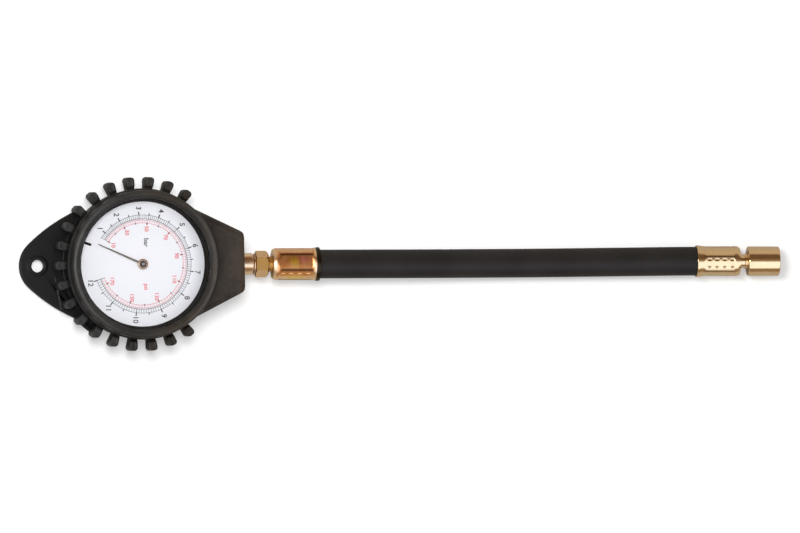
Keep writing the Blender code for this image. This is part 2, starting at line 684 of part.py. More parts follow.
def hang_tab():
    """The flat tab: a round nose, two slightly arched flanks and a skirt under the lower ribs."""
    nose_x = -BOOT_RADIUS - TAB_NOSE_OFFSET
    arch = TAB_FLANK_RADIUS - TAB_NOSE_RADIUS
    centre = (nose_x - arch * math.cos(TAB_FLANK_FIRST), -arch * math.sin(TAB_FLANK_FIRST))
    flank = arc_points(centre, TAB_FLANK_RADIUS, TAB_FLANK_LAST, TAB_FLANK_FIRST, 6)
    outline = flank[:-1]
    outline += arc_points((nose_x, 0.0), TAB_NOSE_RADIUS, TAB_FLANK_FIRST, math.tau - TAB_FLANK_FIRST, 13)
    outline += [(x, -y) for x, y in reversed(flank[:-1])]
    outline += arc_points((0.0, 0.0), BOOT_RADIUS + TAB_SKIRT_WIDTH, TAB_SKIRT_FIRST, TAB_ROOT_LAST, 5)
    outline += arc_points((0.0, 0.0), WALL_MIDDLE, TAB_ROOT_LAST, TAB_ROOT_FIRST, 14)
    tab = plate("hang_tab", outline, 0.0, TAB_THICK, CUTTERS)
    return round_edges(tab, TAB_ROUND)


def eyelet():
    """The raised ring round the hanging hole."""
    outer = HANG_HOLE_RADIUS + EYELET_WIDTH
    low = TAB_THICK / 2
    profile = (
        (HANG_HOLE_RADIUS * 0.8, TAB_THICK + EYELET_RISE * 0.7),
        (HANG_HOLE_RADIUS + EYELET_WIDTH * 0.25, TAB_THICK + EYELET_RISE),
        (HANG_HOLE_RADIUS + EYELET_WIDTH * 0.7, TAB_THICK + EYELET_RISE * 0.8),
        (outer, TAB_THICK - EYELET_RISE * 0.2),
        (outer, low),
        (HANG_HOLE_RADIUS * 0.8, low),
    )
    ring = turned("eyelet", profile, CUTTERS, steps=STEPS_MEDIUM, closed=True)
    ring.location = (-HANG_HOLE_DISTANCE, 0.0, 0.0)
    return ring


def neck_outline(wall):
    """The neck seen from above, drawn in by a wall."""
    slope = (NECK_ROOT_HALF_WIDTH - NECK_END_HALF_WIDTH) / (NECK_END_X - NECK_ROOT_X)
    end_x = NECK_END_X - wall
    radius = max(NECK_CORNER_RADIUS - wall, NECK_INNER_CORNER)
    half = NECK_END_HALF_WIDTH + slope * wall - wall * math.hypot(1.0, slope)
    root_half = half + slope * (end_x - NECK_ROOT_X)
    lean = math.atan(slope)
    corner = (end_x - radius, half - radius * (1 / math.cos(lean) - math.tan(lean)))
    upper = arc_points(corner, radius, math.pi / 2 - lean, 0.0, 5)
    outline = [(NECK_ROOT_X, root_half), *upper]
    return outline + [(x, -y) for x, y in reversed(outline)]


def neck():
    """The sleeve that leads the stem out of the boot."""
    return round_edges(plate("neck", neck_outline(0.0), 0.0, NECK_TOP, CUTTERS), NECK_ROUND, 3)


def neck_hollow():
    """The space inside the neck, open to the case."""
    return plate("neck_hollow", neck_outline(NECK_WALL), NECK_WALL, NECK_TOP - NECK_WALL, CUTTERS)


def stem_hole(name, radius, near_x, far_x):
    """A round hole along the stem."""
    return lay_along_x(rod(name, radius, 0.0, far_x - near_x, CUTTERS, steps=STEPS_MEDIUM), near_x)


def turn_with_boot(thing):
    """Turns a shape of the boot by the boot's own small turn on the case."""
    thing.matrix_world = Matrix.Rotation(BOOT_TURN, 4, "Z") @ thing.matrix_basis
    return thing


def make_boot():
    """The one-piece rubber boot."""
    boot = boot_shell()
    hole = rod("hang_hole", HANG_HOLE_RADIUS, -BOOT_FLOOR, TAB_THICK + BOOT_FLOOR, CUTTERS, steps=STEPS_MEDIUM)
    hole.location = (-HANG_HOLE_DISTANCE, 0.0, 0.0)
    tab, ring, sleeve, hollow = hang_tab(), eyelet(), neck(), neck_hollow()
    for thing in (tab, ring, hole, sleeve, hollow):
        turn_with_boot(thing)
    join(boot, tab, ring, sleeve, boot_ribs())
    cut(boot, case_pocket(), hollow, hole)
    cut(boot, stem_hole("boot_stem_hole", STEM_RADIUS + SEAT_GAP, BLOCK_FAR_X, NECK_END_X * 1.1))
    return weld(boot)


# Case, dial and window


def make_case():
    """The cup that holds the works, with the ledge and the key for the dial."""
    inner, outer = CASE_INNER_RADIUS, CASE_OUTER_RADIUS
    profile = (
        (0.0, CASE_INSIDE),
        (inner - CASE_CORNER, CASE_INSIDE),
        (inner, CASE_INSIDE + CASE_CORNER),
        (inner, LEDGE_TOP - LEDGE_THICK),
        (inner - LEDGE_WIDTH, LEDGE_TOP - LEDGE_THICK),
        (inner - LEDGE_WIDTH, LEDGE_TOP),
        (inner, LEDGE_TOP),
        (inner, CASE_TOP),
        (outer, CASE_TOP),
        (outer, CASE_BOTTOM + CASE_WALL),
        (outer - CASE_WALL, CASE_BOTTOM),
        (0.0, CASE_BOTTOM),
    )
    case = turned("case_cup", profile, PARTS, "case_black")
    key_half = DIAL_KEY_WIDTH / 2
    key = box(
        "dial_key",
        (inner - LEDGE_WIDTH + DIAL_KEY_INSET, -key_half, LEDGE_TOP - LEDGE_THICK / 2),
        (inner - SEAT_GAP, key_half, DIAL_TOP - SEAT_GAP),
        CUTTERS,
    )
    key.rotation_euler = (0.0, 0.0, DIAL_KEY_ANGLE)
    join(case, key)
    cut(case, stem_hole("case_stem_hole", STEM_RADIUS + SEAT_GAP, BLOCK_FAR_X, CASE_OUTER_RADIUS * 1.1))
    for index, side in enumerate((-1.0, 1.0), start=1):
        cut(case, countersink(f"countersink_{index}", side))
    return case


def countersink(name, side):
    """The flared hole for a case screw, drilled from the back."""
    hole = CASE_SCREW_SHANK_RADIUS + SEAT_GAP
    mouth = CASE_SCREW_HEAD_RADIUS + SEAT_GAP
    profile = (
        (0.0, CASE_FLOOR * 1.4),
        (hole, CASE_FLOOR * 1.4),
        (hole, CASE_SCREW_HEAD_DEPTH + SEAT_GAP),
        (mouth, SEAT_GAP * 0.6),
        (mouth, -CASE_FLOOR * 0.5),
        (0.0, -CASE_FLOOR * 0.5),
    )
    cutter = turned(name, profile, CUTTERS, steps=STEPS_SMALL)
    cutter.location = (CASE_SCREW_X, side * CASE_SCREW_Y, CASE_BOTTOM)
    return cutter


def make_case_screws():
    """The two countersunk screws that hold the socket to the case."""
    profile = (
        (0.0, CASE_SCREW_LENGTH),
        (CASE_SCREW_SHANK_RADIUS, CASE_SCREW_LENGTH),
        (CASE_SCREW_SHANK_RADIUS, CASE_SCREW_HEAD_DEPTH),
        (CASE_SCREW_HEAD_RADIUS, 0.0),
        (0.0, 0.0),
    )
    for index, side in enumerate((-1.0, 1.0), start=1):
        screw = turned(f"case_screw_{index}", profile, PARTS, "steel", STEPS_SMALL)
        screw.location = (CASE_SCREW_X, side * CASE_SCREW_Y, CASE_BOTTOM)


def make_bezel():
    """The snap-on ring over the window."""
    skirt = CASE_OUTER_RADIUS - BEZEL_SKIRT_WALL
    low = CASE_TOP + SEAT_GAP
    profile = (
        (skirt, low),
        (skirt, BEZEL_LIP_BOTTOM),
        (BEZEL_OPENING_RADIUS, BEZEL_LIP_BOTTOM),
        (BEZEL_OPENING_RADIUS + BEZEL_LIP_DRAFT, BEZEL_LIP_BOTTOM + BEZEL_LIP_THICK * 0.4),
        (BOOT_LIP_INNER_RADIUS, BEZEL_TOP),
        (CASE_OUTER_RADIUS - BEZEL_LIP_THICK, BEZEL_SHOULDER),
        (CASE_OUTER_RADIUS, BEZEL_TOP - BEZEL_LIP_THICK),
        (CASE_OUTER_RADIUS, low),
    )
    return turned("bezel_ring", profile, PARTS, "bezel_black", closed=True)


def make_window():
    """The clear disc."""
    return rod("window", WINDOW_RADIUS, WINDOW_BOTTOM, WINDOW_TOP, PARTS, "window_clear", STEPS_LARGE)


def make_spacer():
    """The ring between dial and window, which shows as the black inner wall."""
    profile = (
        (SPACER_INNER_RADIUS, SPACER_BOTTOM),
        (SPACER_INNER_RADIUS + SPACER_DRAFT, SPACER_TOP),
        (DIAL_RADIUS, SPACER_TOP),
        (DIAL_RADIUS, SPACER_BOTTOM),
    )
    return turned("spacer_ring", profile, PARTS, "bezel_black", closed=True)


def make_dial():
    """The dial disc with its centre hole and keyed notch."""
    dial = rod("dial_plate", DIAL_RADIUS, DIAL_BOTTOM, DIAL_TOP, PARTS, "dial_white", STEPS_LARGE)
    over = SEAT_GAP
    hole = rod("dial_hole", DIAL_HOLE_RADIUS, DIAL_BOTTOM - over, DIAL_TOP + over, CUTTERS)
    half = DIAL_KEY_SLOT_WIDTH / 2
    centre = (DIAL_RADIUS - DIAL_KEY_SLOT_DEPTH + half, 0.0)
    outline = arc_points(centre, half, math.pi / 2, 3 * math.pi / 2, 7)
    outline += [(DIAL_RADIUS * 1.1, -half), (DIAL_RADIUS * 1.1, half)]
    slot = plate("dial_slot", outline, DIAL_BOTTOM - over, DIAL_TOP + over, CUTTERS)
    slot.rotation_euler = (0.0, 0.0, DIAL_KEY_ANGLE)
    return cut(dial, hole, slot)


# Socket, stem and Bourdon tube


def make_socket():
    """The socket block with its shelf and pressure stem, drilled from the stem's end."""
    base = CASE_INSIDE + SEAT_GAP
    block = box(
        "socket_block",
        (BLOCK_NEAR_X, -BLOCK_HALF_WIDTH, base),
        (BLOCK_FAR_X, BLOCK_HALF_WIDTH, STEM_Z + BLOCK_RISE),
        PARTS,
        "brass",
    )
    shelf_top = PLATE_LOW_BOTTOM - SEAT_GAP
    shelf = box(
        "shelf",
        (SHELF_NEAR_X, -SHELF_HALF_WIDTH, shelf_top - SHELF_THICK),
        (BLOCK_NEAR_X + SHELF_THICK, SHELF_HALF_WIDTH, shelf_top),
        CUTTERS,
    )
    stem_length = STEM_END_X - TUBE_RADIUS - TUBE_HALF_THICK
    stem_profile = (
        (0.0, stem_length),
        (STEM_RADIUS - STEM_CHAMFER, stem_length),
        (STEM_RADIUS, stem_length - STEM_CHAMFER),
        (STEM_RADIUS, 0.0),
        (0.0, 0.0),
    )
    stem = turned("stem", stem_profile, CUTTERS, steps=STEPS_MEDIUM)
    lay_along_x(stem, STEM_END_X - stem_length)
    drilling_top = STEM_END_X * 1.1 - TUBE_RADIUS
    thread_start = STEM_END_X - STEM_THREAD_DEPTH - TUBE_RADIUS
    drilling_profile = (
        (0.0, drilling_top),
        (STEM_THREAD_RADIUS, drilling_top),
        (STEM_THREAD_RADIUS, thread_start),
        (STEM_BORE_RADIUS, thread_start),
        (STEM_BORE_RADIUS, 0.0),
        (0.0, 0.0),
    )
    drilling = lay_along_x(turned("stem_drilling", drilling_profile, CUTTERS, steps=STEPS_MEDIUM), TUBE_RADIUS)
    pocket_path = tube_path(TUBE_POCKET_FIRST, TUBE_POCKET_LAST, TUBE_POCKET_STEPS)
    pocket = strip_along(
        "tube_pocket", pocket_path, TUBE_HALF_HEIGHT + SEAT_GAP, TUBE_HALF_THICK + SEAT_GAP, CUTTERS
    )
    pocket.location = (0.0, 0.0, STEM_Z)
    join(block, shelf, stem)
    cut(block, drilling, pocket)
    for index, side in enumerate((-1.0, 1.0), start=1):
        case_hole = rod(
            f"case_screw_hole_{index}",
            CASE_SCREW_SHANK_RADIUS + SEAT_GAP,
            CASE_BOTTOM,
            CASE_BOTTOM + CASE_SCREW_LENGTH + SEAT_GAP,
            CUTTERS,
            steps=STEPS_TINY,
        )
        case_hole.location = (CASE_SCREW_X, side * CASE_SCREW_Y, 0.0)
        shelf_hole = rod(
            f"shelf_hole_{index}",
            SCREW_SHANK_RADIUS + SEAT_GAP,
            shelf_top - SHELF_THICK * 1.5,
            shelf_top + SHELF_THICK,
            CUTTERS,
            steps=STEPS_TINY,
        )
        shelf_hole.location = (BLOCK_SCREW_X, side * BLOCK_SCREW_Y, 0.0)
        cut(block, case_hole, shelf_hole)
    return block


def tube_path(first, last, count):
    """Points along the Bourdon tube's middle line."""
    return arc_points((0.0, 0.0), TUBE_RADIUS, first, last, count)


def make_bourdon_tube():
    """The flattened tube that straightens under pressure."""
    path = tube_path(TUBE_ROOT_ANGLE, TUBE_TIP_ANGLE, TUBE_STEPS)
    tube = strip_along("bourdon_tube", path, TUBE_HALF_HEIGHT, TUBE_HALF_THICK, PARTS, "tube_bronze")
    tube.location = (0.0, 0.0, STEM_Z)
    return tube


def make_tube_tip():
    """The end piece that closes the tube, with a lug and the pin of the link."""
    lug_low, lug_high = SECTOR_BOTTOM - SEAT_GAP, LINK_BOTTOM - SEAT_GAP
    half = TIP_BLOCK_LENGTH / 2
    thick, high = TIP_BLOCK_HALF_THICK, TIP_BLOCK_HALF_HEIGHT
    block = box("tube_tip", (-half, -thick, STEM_Z - high), (half, thick, STEM_Z + high), PARTS, "movement_brass")
    lug_half = TIP_LUG_WIDTH / 2
    lug_outline = round_hull(((lug_half - half / 2, 0.0, lug_half), (TIP_PIN_LEAD, 0.0, lug_half)))
    lug = plate("tip_lug", lug_outline, lug_low, lug_high, CUTTERS)
    pin = rod("tip_pin", PIN_RADIUS, lug_low + SEAT_GAP, LINK_BOTTOM + PIN_RISE, CUTTERS, steps=STEPS_TINY)
    pin.location = (TIP_PIN_LEAD, 0.0, 0.0)
    frame = Matrix.Translation((*TIP_BLOCK_PLACE, 0.0)) @ Matrix.Rotation(TIP_HEADING, 4, "Z")
    for thing in (block, lug, pin):
        thing.matrix_world = frame @ thing.matrix_basis
    return join(block, lug, pin)


# Movement


def tooth_half_angle(radius, pitch_radius):
    """Half the angle that a tooth fills at a radius, on an involute flank."""
    base = pitch_radius * math.cos(PRESSURE_ANGLE)

    def involute(at_radius):
        if at_radius <= base:
            return 0.0
        pressure = math.acos(base / at_radius)
        return math.tan(pressure) - pressure

    width = math.pi * GEAR_MODULE / 2 - TOOTH_THINNING
    return width / (2 * pitch_radius) + involute(pitch_radius) - involute(radius)


def tooth_outline(pitch_radius, centre):
    """The outline of one tooth, from its right root to its left root."""
    root = pitch_radius - TOOTH_DEDENDUM * GEAR_MODULE
    tip = pitch_radius + TOOTH_ADDENDUM * GEAR_MODULE
    radii = (root, (pitch_radius + root) / 2, pitch_radius, tip)
    right = [polar(radius, centre - tooth_half_angle(radius, pitch_radius)) for radius in radii]
    left = [polar(radius, centre + tooth_half_angle(radius, pitch_radius)) for radius in reversed(radii)]
    return right + left


def make_sector():
    """The toothed sector with its arbor, tail and link pin, about its own axis."""
    facing = SECTOR_ANGLE + math.pi
    pitch = math.tau / SECTOR_FULL_TEETH
    outline = []
    for index in range(SECTOR_TOOTH_FIRST, SECTOR_TOOTH_LAST + 1):
        outline += tooth_outline(SECTOR_RADIUS, facing + (index + 0.5) * pitch)
    first = facing + SECTOR_TOOTH_FIRST * pitch
    last = facing + (SECTOR_TOOTH_LAST + 1) * pitch
    inner = SECTOR_HUB_RADIUS * 0.6
    outline += [polar(inner, last), polar(inner, first)]
    low, high = SECTOR_BOTTOM, SECTOR_TOP
    sector = plate("sector_gear", outline, low, high, PARTS, "movement_brass")
    rim = SECTOR_RADIUS - SECTOR_RIM_WIDTH
    arm_first, arm_last = first + SECTOR_ARM_ANGLE, last - SECTOR_ARM_ANGLE
    hole = arc_points((0.0, 0.0), rim, arm_first, arm_last, 7)
    hole += arc_points((0.0, 0.0), SECTOR_WINDOW_INNER, arm_last, arm_first, 4)
    window = plate("sector_window", hole, low - SEAT_GAP, high + SEAT_GAP, CUTTERS)
    tail = round_hull(((0.0, 0.0, SECTOR_HUB_RADIUS), (0.0, SECTOR_TAIL_LENGTH, SECTOR_TAIL_RADIUS)), 14)
    lever = plate("sector_tail", tail, low, high, CUTTERS)
    pin = rod("sector_pin", PIN_RADIUS, low + SEAT_GAP, LINK_BOTTOM + PIN_RISE, CUTTERS, steps=STEPS_TINY)
    pin.location = (0.0, SECTOR_TAIL_LENGTH, 0.0)
    arbor_profile = (
        (0.0, PLATE_HIGH_TOP + SEAT_GAP),
        (ARBOR_PIVOT_RADIUS, PLATE_HIGH_TOP + SEAT_GAP),
        (ARBOR_PIVOT_RADIUS, PLATE_HIGH_BOTTOM - SEAT_GAP),
        (ARBOR_RADIUS, PLATE_HIGH_BOTTOM - SEAT_GAP),
        (ARBOR_RADIUS, PLATE_LOW_TOP + SEAT_GAP),
        (ARBOR_PIVOT_RADIUS, PLATE_LOW_TOP + SEAT_GAP),
        (ARBOR_PIVOT_RADIUS, PLATE_LOW_BOTTOM),
        (0.0, PLATE_LOW_BOTTOM),
    )
    arbor = turned("sector_arbor", arbor_profile, CUTTERS, steps=STEPS_SMALL)
    cut(sector, window)
    join(sector, lever, arbor, pin)
    for thing in (sector, window, lever, arbor, pin):
        thing.matrix_world = Matrix.Translation((*SECTOR_PLACE, 0.0)) @ thing.matrix_basis
    return sector


def link_end(name, x, collection, finish=None):
    """One of the link's round ends."""
    last = math.tau * (1 - 1 / LINK_END_STEPS)
    outline = arc_points((x, 0.0), LINK_END_RADIUS, 0.0, last, LINK_END_STEPS)
    return plate(name, outline, LINK_BOTTOM, LINK_TOP, collection, finish)


def make_link():
    """The bar from the tube's tip to the sector's tail, about the tip's pin."""
    span = TAIL_PLACE - TIP_PIN_PLACE
    length = span.length
    low, high = LINK_BOTTOM - SEAT_GAP, LINK_TOP + SEAT_GAP
    link = link_end("link", 0.0, PARTS, "movement_brass")
    eye = link_end("link_eye", length, CUTTERS)
    bar_outline = round_hull(((0.0, 0.0, LINK_BAR_RADIUS), (length, 0.0, LINK_BAR_RADIUS)), 8)
    bar = plate("link_bar", bar_outline, LINK_BOTTOM, LINK_TOP, CUTTERS)
    tip_hole = rod("link_tip_hole", PIN_RADIUS + RUN_GAP, low, high, CUTTERS)
    tail_hole = rod("link_tail_hole", PIN_RADIUS + LINK_PIN_SLACK, low, high, CUTTERS)
    tail_hole.location = (length, 0.0, 0.0)
    join(link, bar, eye)
    cut(link, tip_hole, tail_hole)
    heading = math.atan2(span.y, span.x)
    frame = Matrix.Translation((*TIP_PIN_PLACE, 0.0)) @ Matrix.Rotation(heading, 4, "Z")
    for thing in (link, bar, eye, tip_hole, tail_hole):
        thing.matrix_world = frame @ thing.matrix_basis
    return link


def movement_plate(name, low, spots, holes):
    """A movement plate stretched round its fixing spots, drilled for pivots and screws."""
    result = plate(name, round_hull(spots), low, low + PLATE_THICK, PARTS, "movement_brass")
    for index, (x, y, radius) in enumerate(holes):
        drill = rod(f"{name}_hole_{index}", radius, low - SEAT_GAP, low + PLATE_THICK + SEAT_GAP, CUTTERS)
        drill.location = (x, y, 0.0)
        cut(result, drill)
    return result


def make_plates():
    """The bottom and top plates."""
    feet = [(x, y, FOOT_PLATE_RADIUS) for x, y in PILLAR_PLACES]
    spots = [(0.0, 0.0, PIVOT_PLATE_RADIUS), (*SECTOR_PLACE, SECTOR_PLATE_RADIUS), *feet]
    screw_spots = [(BLOCK_SCREW_X, side * BLOCK_SCREW_Y, FOOT_PLATE_RADIUS) for side in (-1.0, 1.0)]
    sector_hole = (*SECTOR_PLACE, ARBOR_PIVOT_RADIUS + RUN_GAP)
    low_holes = [(0.0, 0.0, STAFF_PIVOT_RADIUS + RUN_GAP), sector_hole]
    low_holes += [(x, y, PILLAR_SPIGOT_RADIUS + SEAT_GAP) for x, y in PILLAR_PLACES]
    low_holes += [(x, y, SCREW_SHANK_RADIUS + SEAT_GAP) for x, y, _ in screw_spots]
    movement_plate("bottom_plate", PLATE_LOW_BOTTOM, spots + screw_spots, low_holes)
    high_holes = [(0.0, 0.0, STAFF_RADIUS + RUN_GAP), sector_hole]
    high_holes += [(x, y, SCREW_SHANK_RADIUS + SEAT_GAP) for x, y in PILLAR_PLACES]
    high_holes += [(*stud_place(), STUD_RADIUS + SEAT_GAP)]
    movement_plate("top_plate", PLATE_HIGH_BOTTOM, spots, high_holes)


def make_pillars():
    """The three pillars between the plates, each with a spigot below and a thread above."""
    top = PLATE_HIGH_BOTTOM - SEAT_GAP
    shoulder = PLATE_LOW_TOP + SEAT_GAP
    thread = SCREW_SHANK_RADIUS + SEAT_GAP
    profile = (
        (0.0, top - PILLAR_THREAD_DEPTH),
        (thread, top - PILLAR_THREAD_DEPTH),
        (thread, top),
        (PILLAR_RADIUS, top),
        (PILLAR_RADIUS, shoulder),
        (PILLAR_SPIGOT_RADIUS, shoulder),
        (PILLAR_SPIGOT_RADIUS, PLATE_LOW_BOTTOM + SEAT_GAP),
        (0.0, PLATE_LOW_BOTTOM + SEAT_GAP),
    )
    for index, (x, y) in enumerate(PILLAR_PLACES, start=1):
        pillar = turned(f"pillar_{index}", profile, PARTS, "movement_brass", STEPS_TINY)
        pillar.location = (x, y, 0.0)


def slotted_screw(name, x, y, seat, reach):
    """A cheese-head screw whose head stands on a seat."""
    head = seat + SEAT_GAP
    top = head + SCREW_HEAD_HEIGHT
    profile = (
        (0.0, top),
        (SCREW_HEAD_RADIUS, top),
        (SCREW_HEAD_RADIUS, head),
        (SCREW_SHANK_RADIUS, head),
        (SCREW_SHANK_RADIUS, seat - reach),
        (0.0, seat - reach),
    )
    screw = turned(name, profile, PARTS, "steel", STEPS_TINY)
    half = SCREW_SLOT_WIDTH / 2
    side = SCREW_HEAD_RADIUS * 1.2
    slot = box(
        f"{name}_slot", (-side, -half, top - SCREW_SLOT_DEPTH), (side, half, top + SCREW_SLOT_DEPTH), CUTTERS
    )
    screw.location = (x, y, 0.0)
    slot.location = (x, y, 0.0)
    return cut(screw, slot)


def make_movement_screws():
    """Screws from the top plate into the pillars, and from the bottom plate into the shelf."""
    for index, (x, y) in enumerate(PILLAR_PLACES, start=1):
        slotted_screw(f"plate_screw_{index}", x, y, PLATE_HIGH_TOP, PLATE_THICK + SCREW_REACH)
    for index, side in enumerate((-1.0, 1.0), start=1):
        place_y = side * BLOCK_SCREW_Y
        slotted_screw(f"block_screw_{index}", BLOCK_SCREW_X, place_y, PLATE_LOW_TOP,
                      PLATE_THICK + BLOCK_SCREW_REACH)


def make_staff():
    """The pointer staff with its pinion and collet."""
    pinion_top = PINION_BOTTOM + PINION_HEIGHT
    outline = []
    for index in range(PINION_TEETH):
        outline += tooth_outline(PINION_RADIUS, SECTOR_ANGLE + index * math.tau / PINION_TEETH)
    staff = plate("pointer_staff", outline, PINION_BOTTOM, pinion_top, PARTS, "steel")
    profile = (
        (0.0, STAFF_TOP),
        (STAFF_RADIUS, STAFF_TOP),
        (STAFF_RADIUS, COLLET_TOP),
        (COLLET_RADIUS, COLLET_TOP),
        (COLLET_RADIUS, COLLET_BOTTOM),
        (STAFF_RADIUS, COLLET_BOTTOM),
        (STAFF_RADIUS, PLATE_LOW_TOP + SEAT_GAP),
        (STAFF_PIVOT_RADIUS, PLATE_LOW_TOP + SEAT_GAP),
        (STAFF_PIVOT_RADIUS, PLATE_LOW_BOTTOM),
        (0.0, PLATE_LOW_BOTTOM),
    )
    return join(staff, turned("staff_bar", profile, CUTTERS, steps=STEPS_SMALL))


def hairspring_end():
    """Radius of the hairspring's outer end."""
    return COLLET_RADIUS + SEAT_GAP + HAIRSPRING_HALF_THICK + HAIRSPRING_TURNS * HAIRSPRING_PITCH


def stud_place():
    """Place of the stud that holds the hairspring's outer end."""
    return polar(hairspring_end() + HAIRSPRING_HALF_THICK + SEAT_GAP + STUD_RADIUS, STUD_ANGLE)


def make_hairspring():
    """The spiral that takes up the backlash, and its stud in the top plate."""
    steps = HAIRSPRING_TURNS * HAIRSPRING_STEPS
    path = []
    for index in range(steps + 1):
        turns = index / HAIRSPRING_STEPS
        radius = hairspring_end() - (HAIRSPRING_TURNS - turns) * HAIRSPRING_PITCH
        path.append(polar(radius, STUD_ANGLE + turns * math.tau))
    spring = strip_along(
        "hairspring", path, HAIRSPRING_HALF_HEIGHT, HAIRSPRING_HALF_THICK, PARTS, "steel", 0
    )
    spring.location = (0.0, 0.0, COLLET_BOTTOM + COLLET_HEIGHT / 2)
    stud = rod("hairspring_stud", STUD_RADIUS, COLLET_BOTTOM, PLATE_HIGH_TOP, PARTS, "steel", STEPS_TINY)
    stud.location = (*stud_place(), 0.0)


def make_pointer():
    """The pointer: a tapered blade on a round boss, pressed on the staff."""
    blade = [
        (0.0, POINTER_ROOT_WIDTH / 2),
        (0.0, -POINTER_ROOT_WIDTH / 2),
        (POINTER_LENGTH - POINTER_TIP_WIDTH, -POINTER_TIP_WIDTH / 2),
        (POINTER_LENGTH, 0.0),
        (POINTER_LENGTH - POINTER_TIP_WIDTH, POINTER_TIP_WIDTH / 2),
    ]
    pointer = plate("pointer", blade, POINTER_BOTTOM, POINTER_BOTTOM + POINTER_THICK, PARTS, "pointer_brown")
    low = POINTER_BOTTOM - SEAT_GAP
    top = POINTER_BOSS_TOP
    profile = (
        (0.0, top),
        (POINTER_BOSS_RADIUS - POINTER_BOSS_CHAMFER, top),
        (POINTER_BOSS_RADIUS, top - POINTER_BOSS_CHAMFER),
        (POINTER_BOSS_RADIUS, low),
        (0.0, low),
    )
    boss = turned("pointer_boss", profile, CUTTERS, steps=STEPS_SMALL)
    hole = rod("pointer_hole", STAFF_RADIUS + POINTER_FIT_GAP, low - SEAT_GAP, top + SEAT_GAP, CUTTERS)
    join(pointer, boss)
    cut(pointer, hole)
    for thing in (pointer, boss, hole):
        thing.matrix_world = Matrix.Rotation(POINTER_ANGLE, 4, "Z") @ thing.matrix_basis
    return pointer


# Fittings on the hose


def make_washer():
    """The sealing washer between stem and coupling."""
    inner = STEM_THREAD_RADIUS
    profile = (
        (inner, 0.0),
        (inner, WASHER_THICK),
        (WASHER_OUTER_RADIUS, WASHER_THICK),
        (WASHER_OUTER_RADIUS, 0.0),
    )
    return lay_along_x(
        turned("seal_washer", profile, PARTS, "seal_copper", STEPS_MEDIUM, closed=True), WASHER_X
    )


def make_coupling():
    """The hose coupling: a threaded end, a chamfered hexagon, a neck and a tail, drilled through."""
    corner = HEX_ACROSS_FLATS / 2 / math.cos(math.pi / 6)
    flat_ring = [polar(corner, (index + 0.5) * math.pi / 3) for index in range(6)]
    hexagon = plate("hose_coupling", flat_ring, 0.0, HEX_LENGTH, PARTS, "brass")
    inset = HEX_ACROSS_FLATS / 2
    shape = (
        (0.0, HEX_LENGTH + SEAT_GAP),
        (inset, HEX_LENGTH + SEAT_GAP),
        (inset, HEX_LENGTH),
        (corner + SEAT_GAP, HEX_LENGTH - HEX_CHAMFER),
        (corner + SEAT_GAP, HEX_BACK_CHAMFER),
        (inset, 0.0),
        (inset, -SEAT_GAP),
        (0.0, -SEAT_GAP),
    )
    turned_shape = turned("hex_turning", shape, CUTTERS, steps=STEPS_MEDIUM)
    thread_start = -(HEX_X - STEM_END_X) - STEM_THREAD_DEPTH + SEAT_GAP
    thread_radius = STEM_THREAD_RADIUS - SEAT_GAP
    neck_end = HEX_LENGTH + COUPLING_NECK_LENGTH + FERRULE_END_WALL + SEAT_GAP
    flange_end = neck_end + TAIL_FLANGE_LENGTH
    tail_end = flange_end + NEAR_TAIL_LENGTH
    body = (
        (0.0, tail_end),
        (TAIL_RADIUS, tail_end),
        (TAIL_RADIUS, flange_end),
        (TAIL_FLANGE_RADIUS, flange_end),
        (TAIL_FLANGE_RADIUS, neck_end),
        (COUPLING_NECK_RADIUS, neck_end),
        (COUPLING_NECK_RADIUS, HEX_LENGTH / 2),
        (thread_radius, HEX_LENGTH / 2),
        (thread_radius, thread_start),
        (0.0, thread_start),
    )
    bar = turned("coupling_bar", body, CUTTERS, steps=STEPS_MEDIUM)
    bore = rod("coupling_bore", STEM_BORE_RADIUS, thread_start - SEAT_GAP, tail_end + SEAT_GAP, CUTTERS)
    for thing in (hexagon, turned_shape, bar, bore):
        lay_along_x(thing, HEX_X + thing.location.z)
    combine(hexagon, turned_shape, "INTERSECT")
    join(hexagon, bar)
    return cut(hexagon, bore)


def ferrule_angles(turn):
    """Angles round a crimped ferrule, closest together at the six ridges."""
    sector = math.tau / FERRULE_FACETS
    steps = (0.0, RIDGE_HALF_ANGLE * 0.5, RIDGE_HALF_ANGLE, sector / 2, sector - RIDGE_HALF_ANGLE,
             sector - RIDGE_HALF_ANGLE * 0.5)
    return np.array([turn + facet * sector + step for facet in range(FERRULE_FACETS) for step in steps])


def ridge_height(angles, turn):
    """One on the crimp's ridges and nought on its lands, with a smooth rise between."""
    sector = math.tau / FERRULE_FACETS
    away = np.abs((angles - turn + sector / 2) % sector - sector / 2)
    rise = np.clip(1.0 - away / RIDGE_HALF_ANGLE, 0.0, 1.0)
    return rise * rise * (3.0 - 2.0 * rise)


